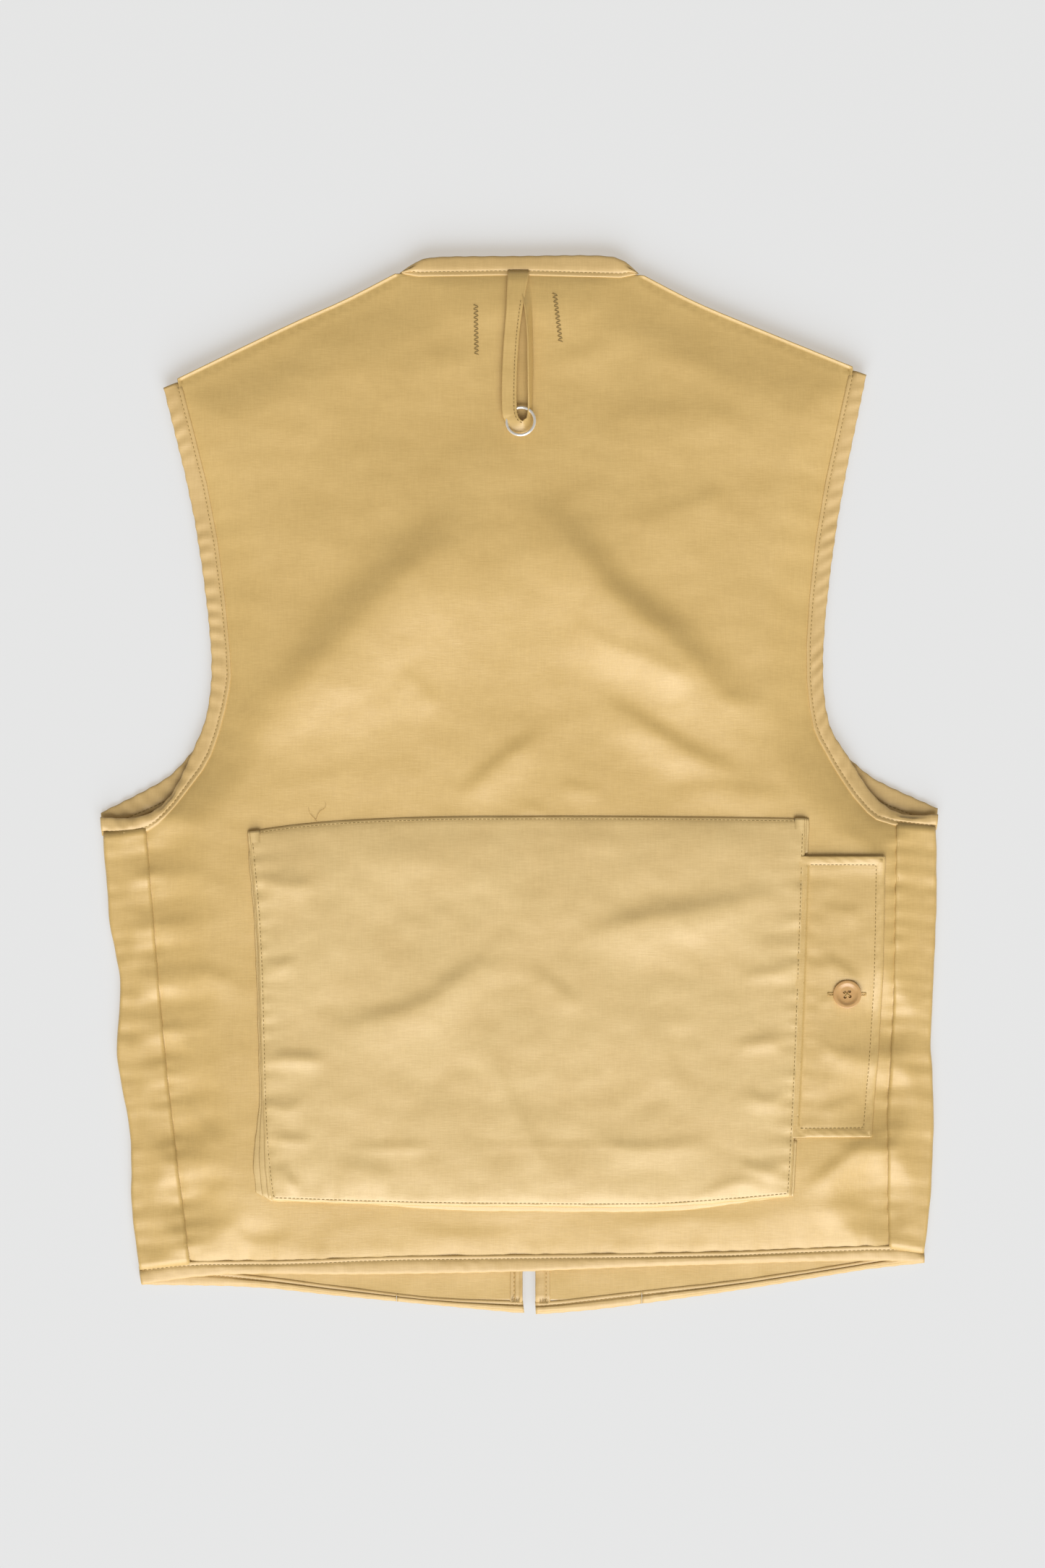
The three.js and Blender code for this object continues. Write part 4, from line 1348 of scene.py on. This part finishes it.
def bend_at_root(obj):
    """The flap's cloth stays sewn to the back along the pocket; it is taken off its body and left where it
    lies.
    """
    obj.parent = None
    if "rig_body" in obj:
        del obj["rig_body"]
    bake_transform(obj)


def make_cargo_flap():
    outer = flap_free_edge()
    low_y, high_y = outer[0][1], outer[-1][1]
    root = [(pocket_edge_x(y) - 5.0, y) for y in np.linspace(high_y, low_y, 12)]
    outline = np.vstack([outer[1:-1], root])
    creases = [np.array([(pocket_edge_x(y) + shift, y) for y in np.arange(low_y + 2, high_y - 2, 2.2)])
               for shift in (1.2, 2.0, 2.8, 3.6, 4.5, 5.6)]
    obj = put_cloth("cargo_flap_cloth", outline, 2.8, flap_height, FLAP_SATEEN,
                    "cargo_flap", rings=(0.5, 1.2, 2.6, 4.2, 5.5, 6.2, 6.9), extra=creases)
    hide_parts("cargo_flap")
    bend_at_root(obj)
    inner = grown(outline, -FLAP_HEM)
    last = len(outer) - 2
    line = inner[:last]
    ends = [(pocket_edge_x(y) + 4, y) for y in (line[0][1], line[-1][1])]
    sewn = stitches("cargo_flap_stitches", [np.vstack([ends[0], line, ends[1]])],
                    lambda xy: flap_height(xy) + 0.1, None, DARK_THREAD, pitch=2.8)
    bend_at_root(sewn)
    buttonhole("cargo_flap_buttonhole", middle_of("cargo_button")[:2], (1, 0), 26, 3.0,
               lambda xy: flap_height(xy) + 0.15, "cargo_flap")


# ---------------------------------------------------------------- hanging loop, ring and label
LOOP_PATH = [
    # middle x and y, height over the back, lean of its width from flat, width, heading of its width
    (-0.6, 356.0, 0.5, 0, 15.0, 0), (-0.9, 351.5, 2.3, 0, 14.6, 0), (-1.9, 343.0, 2.9, 0, 13.4, 0),
    (-3.2, 330.0, 3.2, 0, 11.8, 3), (-4.8, 315.0, 3.5, 0, 10.9, 6), (-6.0, 300.0, 3.7, 0, 10.6, 4),
    (-6.7, 285.0, 3.9, 0, 10.5, 2), (-7.0, 272.0, 4.1, 0, 10.5, 0), (-6.9, 262.0, 4.2, 2, 10.4, 0),
    (-5.6, 254.0, 3.9, 8, 10.2, 28), (-2.2, 248.9, 3.5, 14, 9.8, 62), (1.8, 247.2, 3.2, 22, 9.4, 92),
    (5.6, 250.2, 2.9, 36, 7.6, 138), (7.2, 256.4, 2.6, 56, 5.4, 168), (7.4, 264.0, 3.0, 64, 5.6, 178),
    (7.5, 276.0, 3.9, 66, 7.2, 180), (7.5, 292.0, 4.4, 66, 8.2, 180), (7.2, 310.0, 4.0, 64, 7.8, 180),
    (6.2, 328.0, 2.6, 50, 7.4, 180), (4.6, 342.0, 1.0, 24, 8.0, 180), (3.4, 354.0, -0.6, 8, 8.2, 180),
]


def loop_rails():
    """The strap's middle line, its width direction and its half width, all the way round."""
    path = rounded(LOOP_PATH, 150)
    ground = back_height(path[:, :2])
    centre = np.column_stack([path[:, :2], ground + path[:, 2]])
    lean = np.radians(path[:, 3])
    facing = np.radians(path[:, 5])
    flat = np.column_stack([np.cos(facing), np.sin(facing)])
    across = np.column_stack([flat * np.cos(lean)[:, None], np.sin(lean)])
    return centre, across, path[:, 4] / 2


def make_hang_loop():
    centre, across, half = loop_rails()
    along = np.gradient(centre, axis=0)
    along /= np.linalg.norm(along, axis=1)[:, None]
    normal = np.cross(along, across)
    normal /= np.linalg.norm(normal, axis=1)[:, None]
    thick = 0.62
    section = [(-1.0, 0.0), (-0.97, 0.7), (-0.86, 1.1), (-0.76, 0.75), (-0.6, 0.95), (0, 1.0), (0.6, 0.95),
               (0.76, 0.75), (0.86, 1.1), (0.97, 0.7), (1.0, 0.0), (0.95, -0.8), (0.0, -1.0), (-0.95, -0.8)]
    rings = [centre + across * (half * u)[:, None] + normal * thick * v for u, v in section]
    points = np.stack(rings, axis=1).reshape(-1, 3)
    obj = piece("hang_loop_strap", points, tube_faces(len(centre), len(section)), SATEEN, None)
    tidy_normals(obj)
    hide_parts("hang_loop")
    top = box("hang_loop")[1][1]
    start, end = (0, (top - 1) * MM, 0), (0, (top - 12) * MM, 0)
    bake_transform(obj)
    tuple(start)
    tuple(end)
    length_of(centre) * MM
    seam = centre + across * (half * 0.62)[:, None] + normal * thick * 1.15
    seam = seam[8:74]

    def level(xy):
        return np.interp(-xy[:, 1], -seam[:, 1], seam[:, 2]) + 0.1

    sewn = stitches("hang_loop_stitches", [seam[:, :2]], level, None, DARK_THREAD, pitch=2.6, radius=0.22)
    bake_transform(sewn)
    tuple(start)
    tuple(end)


def make_ring():
    low, high = box("hang_ring")
    centre = (low + high) / 2
    wire = (high[2] - low[2]) / 2
    radius = (high[0] - low[0]) / 2 - wire
    bpy.ops.object.select_all(action="DESELECT")
    bpy.ops.mesh.primitive_torus_add(major_segments=112, minor_segments=20, major_radius=radius * MM,
                                     minor_radius=wire * MM, location=(0, 0, 0))
    ring = bpy.context.object
    ring.name = "hang_ring_wire"
    # Pinched at the butt where the wire's two ends meet.
    for vertex in ring.data.vertices:
        angle = math.atan2(vertex.co.y, vertex.co.x)
        away = abs(math.remainder(angle - math.radians(205), TAU)) * radius
        pinch = 1 - 0.16 * math.exp(-((away / 0.35) ** 2))
        flat = Vector((vertex.co.x, vertex.co.y, 0))
        spine = flat.normalized() * radius * MM
        vertex.co = spine + (vertex.co - spine) * pinch
    tilt = math.radians(12)
    lean_axis = Vector((1, 0.75, 0)).normalized()
    ground = float(back_height([centre[:2]])[0])
    ring.data.transform(Matrix.Rotation(-tilt, 4, lean_axis))
    ring.data.transform(Matrix.Translation(Vector((centre[0], centre[1], ground + 4.1)) * MM))
    bpy.ops.object.shade_smooth()
    ring.data.materials.append(NICKEL_PAINTED_BRIGHT)
    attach(ring, "hang_ring")
    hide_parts("hang_ring")


def make_label():
    low, high = box("label")
    outline = rectangle(low, high)

    def heights(xy):
        edge = to_line(xy, closed(outline))[0]
        return back_height(xy) - CLOTH - 0.35 - 0.3 * smooth((2.0 - edge) / 1.0)

    obj = face_down_cloth("label_blank", outline, 3.0, (0.7, 1.4, 2.2), heights, LABEL_TAFFETA,
                          "vest", thick=0.3)
    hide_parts("label")
    # The two short sides are held by zigzag stitching, which shows on the outside of the back.
    runs = []
    for top, bottom in (((-30.0, 332.0), (-29.6, 297.0)), ((24.5, 340.0), (28.6, 306.0))):
        rail = spaced(np.array([top, bottom]), 1.5)
        for i in range(len(rail) - 1):
            half = 1.75 + 0.25 * noise.noise((i / 3, top[0], 0.3))
            side = half if i % 2 else -half
            runs.append([rail[i] + (side, 0), rail[i + 1] + (-side, 0)])
    stitches("label_stitches", runs, lambda xy: back_height(xy) + 0.25, "vest", DARK_THREAD, pitch=9,
             radius=0.3, share=0.9)


# ---------------------------------------------------------------- floor, light and camera
def make_stage():
    material, tree, shader = new_material("paper_floor_painted_fill_glow")
    place = node(tree, "TexCoord").outputs["Object"]
    grain = node(tree, "TexNoise", Vector=place, Scale=1 / (3 * MM), Detail=2.0)
    bump = node(tree, "Bump", Strength=0.05, Distance=0.1 * MM, Height=grain.outputs["Fac"])
    tree.links.new(bump.outputs["Normal"], shader.inputs["Normal"])
    # The floor's own colour is bluish and it glows warm: the glow is painted fill light, which keeps shadows
    # on the floor pale and gives them a warm tint like light thrown back from the cloth.
    shader.inputs["Base Color"].default_value = (0.29, 0.335, 0.38, 1)
    shader.inputs["Roughness"].default_value = 0.95
    shader.inputs["Specular IOR Level"].default_value = 0.0
    shader.inputs["Emission Color"].default_value = (0.475, 0.435, 0.395, 1)
    shader.inputs["Emission Strength"].default_value = 1.0
    underside = node(tree, "NewGeometry").outputs["Backfacing"]
    clear = node(tree, "BsdfTransparent")
    either = node(tree, "MixShader", i0=underside, i1=shader.outputs["BSDF"], i2=clear.outputs["BSDF"])
    tree.links.new(either.outputs["Shader"], tree.nodes["Material Output"].inputs["Surface"])
    bpy.ops.mesh.primitive_plane_add(size=8.0, location=(0, 0, -0.0005))
    floor = bpy.context.object
    floor.name = "floor"
    floor.data.materials.append(material)

    world = bpy.data.worlds.new("soft_room")
    world.use_nodes = True
    world.node_tree.nodes["Background"].inputs["Color"].default_value = (1.0, 0.93, 0.78, 1)
    world.node_tree.nodes["Background"].inputs["Strength"].default_value = 0.31
    bpy.context.scene.world = world

    key = bpy.data.lights.new("key", "SUN")
    key.energy = 3.5
    key.angle = math.radians(58)
    key.color = (1.0, 1.0, 1.03)
    lamp = bpy.data.objects.new("key", key)
    lamp.rotation_euler = (math.radians(52), 0, math.radians(4))
    bpy.context.scene.collection.objects.link(lamp)

    soft = bpy.data.lights.new("softbox", "AREA")
    soft.shape = "RECTANGLE"
    soft.size = 3.2
    soft.size_y = 1.8
    soft.energy = 36
    box_light = bpy.data.objects.new("softbox", soft)
    box_light.location = (0.2, -3.4, 3.8)
    box_light.rotation_euler = (math.radians(42), 0, math.radians(3))
    bpy.context.scene.collection.objects.link(box_light)

    scene = bpy.context.scene
    scene.view_settings.view_transform = "Standard"
    scene.view_settings.look = "None"
    field = 1084.0
    distance = 3200.0
    lens = bpy.data.cameras.new("camera")
    lens.sensor_fit = "VERTICAL"
    lens.sensor_height = 36
    lens.lens = 36 * distance / field
    lens.clip_end = 50
    camera = bpy.data.objects.new("camera", lens)
    camera.location = Vector((2.25, 0.75, distance + 16)) * MM
    scene.collection.objects.link(camera)
    scene.camera = camera


def make_vest():
    make_back()
    make_back_tapes()
    for side in SIDES:
        make_side_panel(side)
        make_front(side)
    for name in POCKETS:
        make_front_pocket(name)
    make_closure_buttonholes()
    make_cargo_face()
    make_cargo_gusset()
    loose_threads("cargo_thread_ends", [(-141, -25, 62, 15), (-140, -25, 128, 11)],
                  lambda xy: np.maximum(back_height(xy), cargo_height(xy) - 4.0), "vest")
    make_cargo_flap()
    make_hang_loop()
    make_ring()
    make_label()
    blank = button_blank()
    middle = middle_of("cargo_button")[:2]
    proud = float(flap_height([middle])[0]) + 0.3 - (box("cargo_button")[1][2] - 2.4)
    make_button(blank, "cargo_button", "cargo_button", 1, lift=proud, turn=0.12)
    for i, name in enumerate(POCKETS):
        make_button(blank, f"{name}_button", "vest", -1, turn=0.4 + i)
    for i in range(CLOSURES):
        make_button(blank, f"closure_button_{i + 1}", "front_right", -1, turn=0.2 + 0.7 * i)
    bpy.data.objects.remove(blank)


make_stage()
make_vest()
